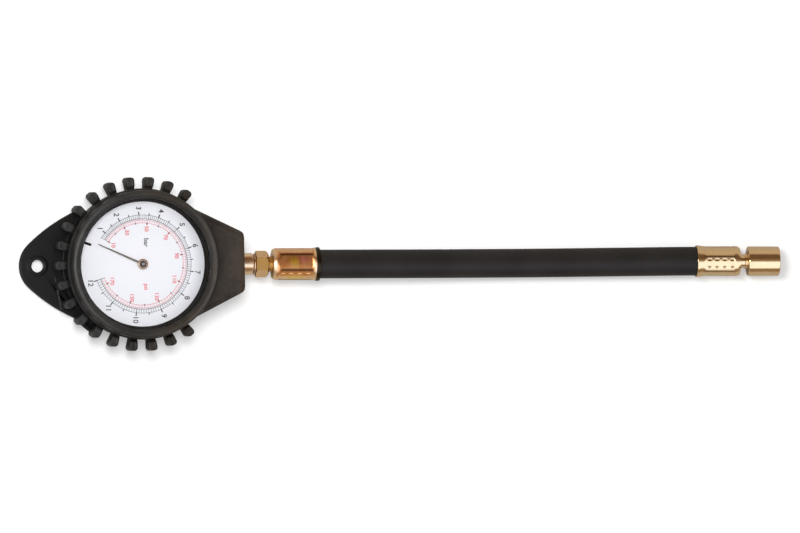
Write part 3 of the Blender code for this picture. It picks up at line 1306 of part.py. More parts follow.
def make_ferrule(name, finish, length, fit, wall, land_wall, bell_wall, neck_hole, turn):
    """A crimped ferrule about Z: end wall and collar below, six crimp lands, bell mouth above.

    Each ring is (height, outer radius on the ridges, outer radius on the lands). The inside is
    round: the neck's hole, the bore, and the wider mouth that takes the full hose.
    """
    bore = HOSE_CRIMPED_RADIUS + fit
    mouth = HOSE_RADIUS + SEAT_GAP
    radius, land, bell = bore + wall, bore + land_wall, mouth + bell_wall
    shoulder = max(radius, mouth + FERRULE_MOUTH_WALL)
    rounding = FERRULE_COLLAR_ROUND
    crimp_start = FERRULE_COLLAR
    crimp_end = length - FERRULE_BELL
    outer = [
        (0.0, radius - rounding, radius - rounding),
        (rounding * 0.3, radius - rounding * 0.3, radius - rounding * 0.3),
        (rounding, radius, radius),
        (crimp_start, radius, radius),
        (crimp_start + FERRULE_RUN_OUT, radius, land),
        (crimp_end - FERRULE_BELL_RUN_OUT, radius, land),
        (crimp_end, shoulder, shoulder),
        (length - FERRULE_LIP, bell - FERRULE_LIP_STEP, bell - FERRULE_LIP_STEP),
        (length - FERRULE_LIP + FERRULE_LIP_STEP, bell, bell),
        (length, bell, bell),
    ]
    inner = [
        (length, mouth, mouth),
        (crimp_end + FERRULE_LIP_STEP, mouth, mouth),
        (crimp_end + FERRULE_LIP_STEP - FERRULE_LIP, bore, bore),
        (FERRULE_END_WALL, bore, bore),
        (FERRULE_END_WALL, neck_hole, neck_hole),
        (0.0, neck_hole, neck_hole),
    ]
    angles = ferrule_angles(turn)
    ridges = ridge_height(angles, turn)
    shape = bmesh.new()
    rings = []
    for height, on_ridge, on_land in outer + inner:
        radii = on_land + (on_ridge - on_land) * ridges
        places = np.column_stack((radii * np.cos(angles), radii * np.sin(angles), np.full(len(angles), height)))
        rings.append([shape.verts.new(place) for place in places])
    for lower, upper in zip(rings, rings[1:] + rings[:1]):
        for index, after in enumerate(np.roll(np.arange(len(angles)), -1)):
            shape.faces.new((lower[index], lower[after], upper[after], upper[index]))
    return from_bmesh(name, shape, PARTS, finish)


def make_ferrules():
    """Both ferrules, bell mouths towards the hose."""
    near = make_ferrule(
        "near_ferrule", "passivated", NEAR_FERRULE_LENGTH, NEAR_FERRULE_FIT, NEAR_FERRULE_WALL,
        NEAR_LAND_WALL, NEAR_BELL_WALL, COUPLING_NECK_RADIUS + SEAT_GAP, NEAR_LAND_TURN,
    )
    lay_along_x(near, NEAR_FERRULE_X)
    far = make_ferrule(
        "far_ferrule", "brass", FAR_FERRULE_LENGTH, FAR_FERRULE_FIT, FAR_FERRULE_WALL,
        FAR_LAND_WALL, FAR_BELL_WALL, FAR_NECK_RADIUS + SEAT_GAP, FAR_LAND_TURN,
    )
    far.location = (FAR_FERRULE_END, FAR_Y, FAR_Z)
    far.rotation_euler = (0.0, -math.pi / 2, 0.0)


def smooth_route(spacing):
    """Points read at even steps from a smooth curve through the hose's route."""
    knots = np.array(HOSE_ROUTE)
    ends = np.vstack((2 * knots[0] - knots[1], knots, 2 * knots[-1] - knots[-2]))
    dense = []
    for index in range(1, len(ends) - 2):
        before, start, end, after = ends[index - 1], ends[index], ends[index + 1], ends[index + 2]
        for t in np.linspace(0.0, 1.0, 20, endpoint=False):
            dense.append(0.5 * (2 * start + (end - before) * t
                                + (2 * before - 5 * start + 4 * end - after) * t * t
                                + (3 * start - before - 3 * end + after) * t ** 3))
    dense.append(knots[-1])
    dense = np.array(dense)
    run = np.concatenate(((0.0,), np.cumsum(np.linalg.norm(np.diff(dense, axis=0), axis=1))))
    count = max(2, round(run[-1] / spacing))
    wanted = set(np.linspace(0.0, run[-1], count + 1))
    for x in hose_step_places():
        wanted.add(float(np.interp(x, dense[:, 0], run)))
    wanted = sorted(wanted)
    return np.column_stack([np.interp(wanted, run, dense[:, axis]) for axis in range(3)])


def hose_step_places():
    """Where along X the hose narrows into its ferrules: full size, then crimped size."""
    near_full = NEAR_FERRULE_END - FERRULE_LIP * 0.3
    far_full = FAR_FERRULE_X + FERRULE_LIP * 0.3
    return near_full - HOSE_CRIMP_RUN, near_full, far_full, far_full + HOSE_CRIMP_RUN


def make_hose():
    """The hose, full size in the open and squeezed inside the ferrules."""
    points = smooth_route(HOSE_POINT_SPACING)
    near_crimped, near_full, far_full, far_crimped = hose_step_places()
    squeeze = HOSE_CRIMPED_RADIUS / HOSE_RADIUS
    curve = bpy.data.curves.new("hose", "CURVE")
    curve.dimensions = "3D"
    curve.bevel_depth = HOSE_RADIUS
    curve.bevel_resolution = HOSE_BEVEL_RESOLUTION
    curve.use_fill_caps = True
    spline = curve.splines.new("POLY")
    spline.points.add(len(points) - 1)
    for target, point in zip(spline.points, points):
        target.co = (*point, 1.0)
        x = point[0]
        target.radius = float(
            np.interp(x, (near_crimped, near_full, far_full, far_crimped), (squeeze, 1.0, 1.0, squeeze))
        )
    return place(bpy.data.objects.new("hose", curve), PARTS, "hose_rubber")


def on_far_axis(thing, x):
    """Lays a shape on the far end's axis."""
    return lay_along_x(thing, x, FAR_Y, FAR_Z)


def make_hose_tail():
    """The turned tail: held in the far ferrule, with the neck and flange that the chuck turns on."""
    neck_start = FAR_FERRULE_END - FERRULE_END_WALL - SEAT_GAP
    flange_start = neck_start - TAIL_FLANGE_LENGTH
    start = flange_start - FAR_TAIL_LENGTH
    ring_end = CHUCK_X - SEAT_GAP
    ring_start = ring_end - NECK_RING_LENGTH
    ring_radius = FAR_NECK_RADIUS + NECK_RING_RISE
    swivel_radius = CHUCK_CHAMBER_RADIUS - SWIVEL_FLANGE_INSET
    end = SWIVEL_FLANGE_X + SWIVEL_FLANGE_LENGTH
    places = (
        (0.0, end),
        (swivel_radius, end),
        (swivel_radius, SWIVEL_FLANGE_X),
        (FAR_NECK_RADIUS, SWIVEL_FLANGE_X),
        (FAR_NECK_RADIUS, ring_end),
        (ring_radius, ring_end - NECK_RING_CHAMFER),
        (ring_radius, ring_start + NECK_RING_CHAMFER),
        (FAR_NECK_RADIUS, ring_start),
        (FAR_NECK_RADIUS, neck_start),
        (TAIL_FLANGE_RADIUS, neck_start),
        (TAIL_FLANGE_RADIUS, flange_start),
        (TAIL_RADIUS, flange_start),
        (TAIL_RADIUS, start),
        (0.0, start),
    )
    profile = [(radius, x - start) for radius, x in places]
    tail = turned("hose_tail", profile, PARTS, "brass", STEPS_MEDIUM)
    bore = rod("tail_bore", STEM_BORE_RADIUS, -SEAT_GAP, end - start + SEAT_GAP, CUTTERS)
    on_far_axis(bore, start)
    return cut(on_far_axis(tail, start), bore)


def make_chuck_body():
    """The plain brass cylinder with its chamber."""
    bore = FAR_NECK_RADIUS + RUN_GAP
    edge = CHUCK_EDGE
    profile = (
        (bore, 0.0),
        (bore, CHUCK_BACK_WALL),
        (CHUCK_CHAMBER_RADIUS, CHUCK_BACK_WALL),
        (CHUCK_CHAMBER_RADIUS, CHUCK_LENGTH),
        (CHUCK_RADIUS - edge, CHUCK_LENGTH),
        (CHUCK_RADIUS - edge * 0.3, CHUCK_LENGTH - edge * 0.3),
        (CHUCK_RADIUS, CHUCK_LENGTH - edge),
        (CHUCK_RADIUS, edge),
        (CHUCK_RADIUS - edge * 0.3, edge * 0.3),
        (CHUCK_RADIUS - edge, 0.0),
    )
    return on_far_axis(turned("chuck_body", profile, PARTS, "brass", STEPS_MEDIUM, closed=True), CHUCK_X)


def make_chuck_pin():
    """The depressor: a disc with three air holes and a post that opens the valve core."""
    disc = CHUCK_CHAMBER_RADIUS - SEAT_GAP
    post_end = CHUCK_RETAINER_X + CHUCK_PIN_REACH - CHUCK_PIN_X
    profile = (
        (0.0, post_end),
        (CHUCK_PIN_RADIUS * 0.6, post_end),
        (CHUCK_PIN_RADIUS, post_end - CHUCK_PIN_RADIUS * 0.5),
        (CHUCK_PIN_RADIUS, CHUCK_PIN_BASE),
        (disc, CHUCK_PIN_BASE),
        (disc, 0.0),
        (0.0, 0.0),
    )
    pin = on_far_axis(turned("chuck_pin", profile, PARTS, "brass", STEPS_SMALL), CHUCK_PIN_X)
    for index in range(CHUCK_AIR_HOLES):
        high = CHUCK_PIN_BASE + SEAT_GAP
        hole = rod(f"air_hole_{index}", CHUCK_AIR_HOLE_RADIUS, -SEAT_GAP, high, CUTTERS, steps=STEPS_TINY)
        y, z = polar(CHUCK_AIR_HOLE_DISTANCE, index * math.tau / CHUCK_AIR_HOLES)
        cut(pin, lay_along_x(hole, CHUCK_PIN_X, FAR_Y + y, FAR_Z + z))
    return pin


def make_chuck_seal():
    """The rubber washer that seals on the valve."""
    outer = CHUCK_CHAMBER_RADIUS - SEAT_GAP
    profile = (
        (CHUCK_SEAL_BORE, 0.0),
        (CHUCK_SEAL_BORE, CHUCK_SEAL_THICK),
        (outer, CHUCK_SEAL_THICK),
        (outer, 0.0),
    )
    seal = turned("chuck_seal", profile, PARTS, "seal_rubber", STEPS_MEDIUM, closed=True)
    return on_far_axis(seal, CHUCK_SEAL_X)


def make_chuck_retainer():
    """The bush at the mouth that guides the valve and holds the seal."""
    outer = CHUCK_CHAMBER_RADIUS - SEAT_GAP
    length = CHUCK_END - CHUCK_RETAINER_X - SEAT_GAP
    profile = (
        (CHUCK_MOUTH_RADIUS, 0.0),
        (CHUCK_MOUTH_RADIUS, length - CHUCK_MOUTH_CHAMFER),
        (CHUCK_MOUTH_RADIUS + CHUCK_MOUTH_CHAMFER, length),
        (outer, length),
        (outer, 0.0),
    )
    bush = turned("chuck_retainer", profile, PARTS, "brass", STEPS_MEDIUM, closed=True)
    return on_far_axis(bush, CHUCK_RETAINER_X)


def main():
    """Builds every piece."""
    make_boot()
    make_case()
    make_case_screws()
    make_bezel()
    make_window()
    make_spacer()
    make_dial()
    make_socket()
    make_bourdon_tube()
    make_tube_tip()
    make_plates()
    make_pillars()
    make_movement_screws()
    make_sector()
    make_link()
    make_staff()
    make_hairspring()
    make_pointer()
    make_washer()
    make_coupling()
    make_ferrules()
    make_hose()
    make_hose_tail()
    make_chuck_body()
    make_chuck_pin()
    make_chuck_seal()
    make_chuck_retainer()


main()
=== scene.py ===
"""The looks of a dial pressure gauge for tyres, in a ribbed rubber boot with a hose and a chuck.

+X runs along the hose, +Z looks out of the dial, and the origin is on the dial's axis at the back
of the boot. Lengths are in millimetres until a mesh is made of them, and in metres in the
materials and for the lamps. Angles are in radians, unless a name or a comment says degrees.
"""
import functools
import json
import math

import bmesh
import bpy
import numpy as np
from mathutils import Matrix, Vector


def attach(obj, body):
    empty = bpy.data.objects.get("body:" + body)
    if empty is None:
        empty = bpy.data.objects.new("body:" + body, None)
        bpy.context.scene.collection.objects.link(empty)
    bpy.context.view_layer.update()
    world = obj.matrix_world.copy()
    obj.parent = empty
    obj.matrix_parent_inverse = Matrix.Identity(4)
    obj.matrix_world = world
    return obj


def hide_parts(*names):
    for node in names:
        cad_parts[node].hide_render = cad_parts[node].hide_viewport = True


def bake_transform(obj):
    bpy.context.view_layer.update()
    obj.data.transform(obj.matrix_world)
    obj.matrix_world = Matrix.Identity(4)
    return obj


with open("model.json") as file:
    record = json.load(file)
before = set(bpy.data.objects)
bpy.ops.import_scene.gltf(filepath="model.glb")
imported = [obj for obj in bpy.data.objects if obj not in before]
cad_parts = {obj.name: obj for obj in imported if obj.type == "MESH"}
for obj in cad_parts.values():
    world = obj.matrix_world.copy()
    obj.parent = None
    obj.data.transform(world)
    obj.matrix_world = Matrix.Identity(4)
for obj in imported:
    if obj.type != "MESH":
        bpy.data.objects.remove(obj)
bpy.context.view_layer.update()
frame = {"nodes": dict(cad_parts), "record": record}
NODES = frame["nodes"]

MM = 0.001
TURN = 2.0 * math.pi

# View: a straight-down catalogue picture, leaning a little to the left
IMAGE_WIDTH = 800
PIXEL = 0.56
VIEW_LEAN = math.radians(9.0)
VIEW_CENTRE = (145.9, -1.4, 22.0)

# Boot
BOOT_TURN = math.radians(1.2)
BOOT_RADIUS = 41.5
BOOT_TOP = 34.5
BOOT_LIP_RADIUS = 37.0
POCKET_RADIUS = 39.3
BOOT_FLOOR = 2.5
WALL_MIDDLE = 40.4
RIB_COUNT = 19
RIB_PITCH = math.radians(13.8)
RIB_REACH = 7.4
RIB_BASE_HALF = 2.0
RIB_TIP_HALF = 2.5
RIB_TIP_ROUND = 1.9
RIB_BOTTOM = 6.3
RIB_TOP = 21.0
RIB_SINK = 2.2
TAB_THICK = 4.0
TAB_NOSE_X = -50.4
TAB_NOSE_RADIUS = 16.5
TAB_FLANK_RADIUS = 95.0
TAB_RIM = 1.0
SKIRT_RADIUS = 46.6
HOLE_X = -56.8
HOLE_RADIUS = 3.5
NECK_END_X = 57.4
NECK_TOP = 26.0
NECK_ROOT_X = 27.0
NECK_END_HALF = 16.5
NECK_START = 28.0
STEM_Z = 13.0
STEM_RADIUS = 6.0

# Dial and window
CASE_RADIUS = 39.0
BEZEL_OPENING = 36.8
BEZEL_TOP = 32.5
DIAL_TOP = 22.0
DIAL_RADIUS = 37.2
SPACER_RADIUS = 35.0
SPACER_BOTTOM = 22.3
SPACER_TOP = 29.2
PRINT_Z = DIAL_TOP + 0.03
POINTER_ANGLE = math.radians(156.3)
POINTER_LENGTH = 27.8
POINTER_Z = 23.1

# Degrees round the dial, anticlockwise from the hose, of each whole bar; the psi follow from the bar
BAR_DEGREES = (140.7, 118.6, 94.5, 70.7, 44.9, 19.2, -8.4, -37.1, -67.5, -97.4, -128.4, -160.3)
PSI_STEP = 10
PSI_PER_BAR = 14.504

# The two lines that bound each scale, and the font's size and boldness for figures one high
BAR_RADII = (25.3, 27.5)
PSI_RADII = (23.0, 24.6)
TYPE_SIZE = 1.38
TYPE_BOLDNESS = 0.022

# Fittings
HEX_X = 65.2
HEX_LENGTH = 7.2
HEX_HALF = 6.5
HEX_CORNER = 7.44
NEAR_NECK_RADIUS = 4.2
NEAR_FERRULE_X = 74.8
NEAR_FERRULE_LENGTH = 26.5
FAR_FERRULE_X = 315.7
FAR_FERRULE_LENGTH = 24.5
FAR_Y = 1.6
FAR_Z = 8.95
FAR_NECK_RADIUS = 3.8
NEAR_AXIS = (0.0, STEM_Z)
FAR_AXIS = (FAR_Y, FAR_Z)
NEAR_LAND_CENTRE = math.radians(8.0)
FAR_LAND_CENTRE = math.radians(-12.0)
CHUCK_X = 344.8
CHUCK_LENGTH = 17.8
CHUCK_RADIUS = 8.25
CHUCK_CHAMBER = 5.8

# Hose
HOSE_RADIUS = 8.05
HOSE_CRIMPED_RADIUS = 7.4
HOSE_ROUTE = np.array((
    (82.0, 0.00, 13.00), (95.0, 0.00, 13.00), (108.0, 0.00, 13.00), (122.0, 0.05, 12.85),
    (138.0, 0.10, 12.30), (154.0, 0.15, 11.40), (170.0, 0.20, 10.35), (186.0, 0.30, 9.40),
    (202.0, 0.40, 8.70), (218.0, 0.50, 8.30), (234.0, 0.65, 8.15), (250.0, 0.85, 8.12),
    (266.0, 1.05, 8.20), (282.0, 1.25, 8.45), (298.0, 1.45, 8.78), (311.0, 1.58, 8.94),
    (323.0, 1.60, 8.95), (334.0, 1.60, 8.95),
))

# Lights and floor, in metres
SOFT_LIGHT = 0.55
FLOOR_HALF = 3.0
FLOOR_LEVEL = -0.0002
FLOOR_TONE = (0.8, 0.8, 0.8)
FLOOR_IN_GLOSS = (0.5, 0.47, 0.43)
FLOOR_GLOW = 0.29
WHITE = (1.0, 1.0, 1.0)

# What gloss sees round the hose's direction: degrees from straight up towards +Y, and a colour
STRIPS = (
    (-90.0, (0.31, 0.24, 0.17)), (-61.0, (0.29, 0.20, 0.12)), (-56.5, (1.30, 1.45, 1.75)),
    (-7.0, (1.35, 1.50, 1.85)), (0.0, (0.34, 0.27, 0.20)), (14.0, (0.26, 0.19, 0.13)),
    (19.0, (0.16, 0.10, 0.06)), (53.0, (0.17, 0.11, 0.07)), (60.0, (0.56, 0.48, 0.40)),
    (90.0, (0.62, 0.53, 0.44)),
)


# Meshes from grids of points


def in_scene(name, data):
    """A new object, put in the scene."""
    thing = bpy.data.objects.new(name, data)
    bpy.context.scene.collection.objects.link(thing)
    return thing


def finished(name, vertices, faces, sharp):
    """A mesh object from points and faces, with doubles merged and faces turned outwards.

    Edges that bend by more than so many degrees stay sharp.
    """
    mesh = bpy.data.meshes.new(name)
    mesh.from_pydata(vertices * MM, [], faces)
    shape = bmesh.new()
    shape.from_mesh(mesh)
    bmesh.ops.remove_doubles(shape, verts=shape.verts, dist=1e-6)
    bmesh.ops.recalc_face_normals(shape, faces=shape.faces)
    shape.to_mesh(mesh)
    shape.free()
    mesh.shade_smooth()
    mesh.set_sharp_from_angle(angle=math.radians(sharp))
    return in_scene(name, mesh)


def grid_faces(rows, columns, loop_rows, loop_columns):
    """Quads between neighbours on a grid, wrapped round where a direction is a loop."""
    index = np.arange(rows * columns).reshape(rows, columns)
    if loop_columns:
        index = np.concatenate((index, index[:, :1]), axis=1)
    if loop_rows:
        index = np.concatenate((index, index[:1]), axis=0)
    quads = np.stack((index[:-1, :-1], index[:-1, 1:], index[1:, 1:], index[1:, :-1]), axis=-1)
    return quads.reshape(-1, 4)


def surface(name, grid, loop_rows=False, loop_columns=True, sharp=35.0):
    """An object from one grid of points, or from several alike grids in one array."""
    grids = grid if grid.ndim == 4 else grid[None]
    count, rows, columns = grids.shape[:3]
    quads = grid_faces(rows, columns, loop_rows, loop_columns)
    faces = (quads[None] + (np.arange(count) * rows * columns)[:, None, None]).reshape(-1, 4)
    return finished(name, grids.reshape(-1, 3), faces.tolist(), sharp)


def smooth_step(value, low, high):
    """Nought below low, one above high, and 3t² - 2t³ between."""
    t = np.clip((value - low) / (high - low), 0.0, 1.0)
    return t * t * (3.0 - 2.0 * t)


def hump(value, middle, half_width):
    """A bell curve: e to the minus square of the distance over the half width."""
    return np.exp(-((value - middle) / half_width) ** 2)


def rounded_path(corners, closed=False, steps=5):
    """Points of a path whose corners are rounded off.

    Each corner is (a, b, rounding). The rounding starts that far before the corner and ends that
    far after it, and follows (1-t)² start + 2t(1-t) corner + t² end.
    """
    places = np.array([corner[:2] for corner in corners], float)
    cuts = [corner[2] if len(corner) > 2 else 0.0 for corner in corners]
    t = np.linspace(0.0, 1.0, steps)[:, None]
    path = []
    last = len(places) - 1
    for index, (place, size) in enumerate(zip(places, cuts)):
        if size == 0.0 or (not closed and index in (0, last)):
            path.append(place[None])
            continue
        before = places[index - 1] - place
        after = places[(index + 1) % len(places)] - place
        start = place + before / np.linalg.norm(before) * size
        end = place + after / np.linalg.norm(after) * size
        path.append((1 - t) ** 2 * start + 2 * t * (1 - t) * place + t * t * end)
    return np.concatenate(path)


def turned_about_z(profile, steps):
    """A grid: each (radius, height) of the profile carried round the Z axis."""
    angle = np.arange(steps) * TURN / steps
    radius, height = profile[:, :1], profile[:, 1:]
    return np.stack(np.broadcast_arrays(radius * np.cos(angle), radius * np.sin(angle), height), axis=-1)


def turned_about_hose(profile, axis, steps):
    """A grid: each (distance along +X, radius) of the profile carried round an axis (y, z)."""
    angle = np.arange(steps) * TURN / steps
    return around_hose(profile[:, :1], profile[:, 1:], angle, axis)


def around_hose(x, radius, angle, axis):
    """Points at distances along +X and radii round an axis (y, z), from angles.

    The angle is nought at +Z and grows towards +Y.
    """
    y = axis[0] + radius * np.sin(angle)
    z = axis[1] + radius * np.cos(angle)
    return np.stack(np.broadcast_arrays(x, y, z), axis=-1)


def turned_by(points, angle):
    """Points turned about Z."""
    c, s = np.cos(angle), np.sin(angle)
    x, y, z = points[..., 0], points[..., 1], points[..., 2]
    return np.stack(np.broadcast_arrays(c * x - s * y, s * x + c * y, z), axis=-1)


def evenly(points, count, closed=True):
    """Points at even steps along a path of straight lines, and the path's length."""
    if closed:
        points = np.vstack((points, points[:1]))
    run = np.concatenate(((0.0,), np.cumsum(np.linalg.norm(np.diff(points, axis=0), axis=1))))
    even = np.linspace(0.0, run[-1], count, endpoint=not closed)
    return np.column_stack([np.interp(even, run, places) for places in points.T]), run[-1]


def quarter_turn(count):
    """Angles from nought to a right angle."""
    return np.linspace(0.0, math.pi / 2, count)


def add_number(thing, name, values):
    """A number at each point of a mesh, for its material."""
    layer = thing.data.attributes.new(name, "FLOAT", "POINT")
    layer.data.foreach_set("value", np.clip(values, 0.0, 1.0).astype(np.float32))


def points_of(mesh):
    """The places of a mesh's points."""
    places = np.zeros(len(mesh.vertices) * 3)
    mesh.vertices.foreach_get("co", places)
    return places.reshape(-1, 3) / MM


def turn_about(places, axis):
    """Degrees round an axis (y, z) along the hose: nought straight up, and growing towards +Y."""
    return np.degrees(np.arctan2(places[:, 1] - axis[0], places[:, 2] - axis[1]))


# Procedural finishes


def feed(tree, socket, value):
    """A link, a number or a colour into a socket."""
    if isinstance(value, bpy.types.NodeSocket):
        tree.links.new(value, socket)
    elif socket.type == "RGBA":
        socket.default_value = (*value, 1.0)
    else:
        socket.default_value = value


def add_node(tree, kind, inputs=(), **settings):
    """A node with its settings and its inputs."""
    node = tree.nodes.new(kind)
    for key, value in settings.items():
        setattr(node, key, value)
    for key, value in dict(inputs).items():
        feed(tree, node.inputs[key], value)
    return node


def add_ramp(tree, value, stops):
    """A colour for each value, from stops of (place, colour)."""
    node = add_node(tree, "ShaderNodeValToRGB", {"Fac": value})
    marks = node.color_ramp.elements
    while len(marks) < len(stops):
        marks.new(0.5)
    for mark, (place, colour) in zip(marks, stops):
        mark.position = place
        mark.color = (*colour, 1.0)
    return node.outputs["Color"]


class Finish:
    """A procedural material as it is put together."""

    def __init__(self, name):
        self.material = bpy.data.materials.new(name)
        self.material.use_nodes = True
        self.tree = self.material.node_tree
        self.shader = self.tree.nodes["Principled BSDF"]
        self.place = self.node("ShaderNodeTexCoord").outputs["Object"]

    def node(self, kind, inputs=(), **settings):
        """A node of this material."""
        return add_node(self.tree, kind, inputs, **settings)

    def stretched(self, scale, place=None):
        """Coordinates, the object's own or those given, times a scale for each axis."""
        inputs = {"Vector": place or self.place, "Scale": scale}
        return self.node("ShaderNodeMapping", inputs).outputs["Vector"]

    def noise(self, scale, detail=3.0, rough=0.55, place=None):
        """Noise between about 0.3 and 0.7."""
        inputs = {"Vector": place or self.place, "Scale": scale, "Detail": detail, "Roughness": rough}
        return self.node("ShaderNodeTexNoise", inputs).outputs["Fac"]

    def ramp(self, value, stops):
        """A colour for each value, from stops of (place, colour)."""
        return add_ramp(self.tree, value, stops)

    def spread(self, value, low, high, to_low, to_high):
        """A value taken from one range to another."""
        inputs = {"Value": value, "From Min": low, "From Max": high, "To Min": to_low, "To Max": to_high}
        return self.node("ShaderNodeMapRange", inputs).outputs["Result"]

    def between(self, noise, to_low, to_high):
        """Noise taken to a range of its own."""
        return self.spread(noise, 0.3, 0.7, to_low, to_high)

    def mix(self, amount, first, second):
        """Two colours mixed: the first at an amount of nought, the second at one."""
        return self.node("ShaderNodeMix", {0: amount, 6: first, 7: second}, data_type="RGBA").outputs[2]

    def maths(self, operation, first, second=0.0):
        """What one operation makes of two values."""
        return self.node("ShaderNodeMath", {0: first, 1: second}, operation=operation).outputs[0]

    def product(self, *factors):
        """All factors multiplied."""
        return functools.reduce(functools.partial(self.maths, "MULTIPLY"), factors)

    def places(self):
        """X, Y and Z, and the distance from the dial's axis."""
        split = self.node("ShaderNodeSeparateXYZ", {"Vector": self.place})
        x, y, z = (split.outputs[axis] for axis in "XYZ")
        return x, y, z, self.maths("SQRT", self.maths("ADD", self.product(x, x), self.product(y, y)))

    def bump(self, height, depth, strength=1.0, under=None):
        """A normal from a height that is so many metres deep."""
        inputs = {"Height": height, "Distance": depth, "Strength": strength}
        if under is not None:
            inputs["Normal"] = under
        return self.node("ShaderNodeBump", inputs).outputs["Normal"]

    def attribute(self, name):
        """A number that the mesh carries at each point."""
        return self.node("ShaderNodeAttribute", attribute_name=name).outputs["Fac"]

    def done(self, **inputs):
        """The material, with the shader's inputs set or linked."""
        for key, value in inputs.items():
            feed(self.tree, self.shader.inputs[key.replace("_", " ")], value)
        return self.material


def boot_rubber():
    """Black-brown moulded rubber: satin skin, faint mottling, and a lighter tone where it stands higher,
    dusty there and with a painted sheen.

    The lighter tone is grey on the tab's half and brown on the neck's. Painted shade keeps the wall
    under the lip darker, a painted highlight lightens the lip's crest at both sides, and painted
    shade darkens the neck's end brown.
    """
    f = Finish("boot_rubber")
    mottle = f.noise(60.0, 4.0)
    grain = f.noise(2600.0, 2.0)
    scuff = f.noise(420.0, 5.0, 0.7)
    x, _, height, radius = f.places()
    bare = f.ramp(mottle, ((0.3, (0.0078, 0.0078, 0.0078)), (0.52, (0.01, 0.0097, 0.0094)),
                           (0.7, (0.0135, 0.0123, 0.0115))))
    # Painted shade: less of the lighter tone on the wall under the lip's crest.
    painted_wall_shade = f.product(
        f.spread(radius, 0.0418, 0.0422, 0.6, 0.0), f.spread(height, 0.0325, 0.0335, 1.0, 0.0),
    )
    # Dusty with a painted sheen: lighter the higher the rubber stands, more so on the neck.
    dust_and_sheen = f.product(
        f.spread(height, 0.006, 0.021, 0.0, 0.95), f.spread(mottle, 0.35, 0.65, 0.4, 0.85),
        f.between(scuff, 0.7, 1.25), f.maths("SUBTRACT", 1.0, painted_wall_shade),
        f.spread(x, 0.041, 0.05, 1.0, 1.5),
    )
    dust_and_sheen_colour = f.mix(f.spread(x, -0.025, 0.02, 0.0, 1.0), (0.046, 0.0445, 0.043), (0.052, 0.040, 0.030))
    # Painted highlight: a lighter band along the lip's crest, at both sides.
    painted_crest_highlight = f.product(
        f.spread(radius, 0.0388, 0.0398, 0.0, 1.0), f.spread(radius, 0.0403, 0.0411, 1.0, 0.0),
        f.spread(height, 0.0328, 0.0338, 0.0, 0.5),
        f.spread(f.maths("ABSOLUTE", x), 0.018, 0.036, 0.0, 1.05), f.between(scuff, 0.6, 1.2),
    )
    # Painted shade: the neck's end darkened brown.
    painted_end_shade = f.product(f.spread(x, 0.0535, 0.0568, 0.0, 0.55), f.between(scuff, 0.5, 1.2))
    colour = f.mix(dust_and_sheen, bare, dust_and_sheen_colour)
    colour = f.mix(painted_crest_highlight, colour, (0.105, 0.1, 0.092))
    colour = f.mix(painted_end_shade, colour, (0.046, 0.022, 0.011))
    return f.done(Base_Color=colour, Roughness=f.between(grain, 0.38, 0.5),
                  Specular_IOR_Level=0.15, Normal=f.bump(grain, 0.00003, 0.5))


def satin_black(name, colour, rough, gloss=0.2):
    """Black enamel or plastic with a fine skin and slight wear."""
    f = Finish(name)
    skin = f.noise(1800.0, 2.0)
    cloud = f.noise(90.0, 3.0)
    light = tuple(value * 1.7 for value in colour)
    return f.done(Base_Color=f.ramp(cloud, ((0.35, colour), (0.7, light))),
                  Roughness=f.between(skin, rough - 0.06, rough + 0.08), Specular_IOR_Level=gloss,
                  Normal=f.bump(skin, 0.00002, 0.4))


def turned_metal(name, stops, rough, rings=3600.0, patch=130.0, painted_shade=None):
    """Turned or drawn metal: fine rings round the hose's axis and soft patches of tone.

    Painted shade, in the colour given, lies where the mesh's own number for it says so.
    """
    f = Finish(name)
    turning = f.noise(1.0, 3.0, 0.6, f.stretched((rings, rings * 0.004, rings * 0.004)))
    colour = f.ramp(f.noise(patch), stops)
    wear = f.noise(700.0, 4.0)
    ringed = f.between(turning, rough * 0.7, rough * 1.25)
    roughness = f.maths("ADD", ringed, f.spread(wear, 0.5, 0.75, 0.0, 0.07))
    # Painted shade where the mesh's number says so.
    if painted_shade is not None:
        amount = f.attribute("painted_shade")
        colour = f.mix(amount, colour, painted_shade)
        roughness = f.maths("ADD", roughness, f.product(amount, 0.22))
    return f.done(Base_Color=colour, Metallic=1.0, Roughness=roughness,
                  Normal=f.bump(turning, 0.000012, 0.5))


def stamped_metal(name, colour, rough):
    """Stamped or drawn parts of the works, brushed one way."""
    f = Finish(name)
    brushed = f.noise(1.0, 3.0, 0.6, f.stretched((260.0, 5200.0, 260.0)))
    low = tuple(value * 0.78 for value in colour)
    return f.done(Base_Color=f.ramp(f.noise(220.0), ((0.3, low), (0.7, colour))), Metallic=1.0,
                  Roughness=f.between(brushed, rough - 0.08, rough + 0.1),
                  Normal=f.bump(brushed, 0.000012, 0.5))


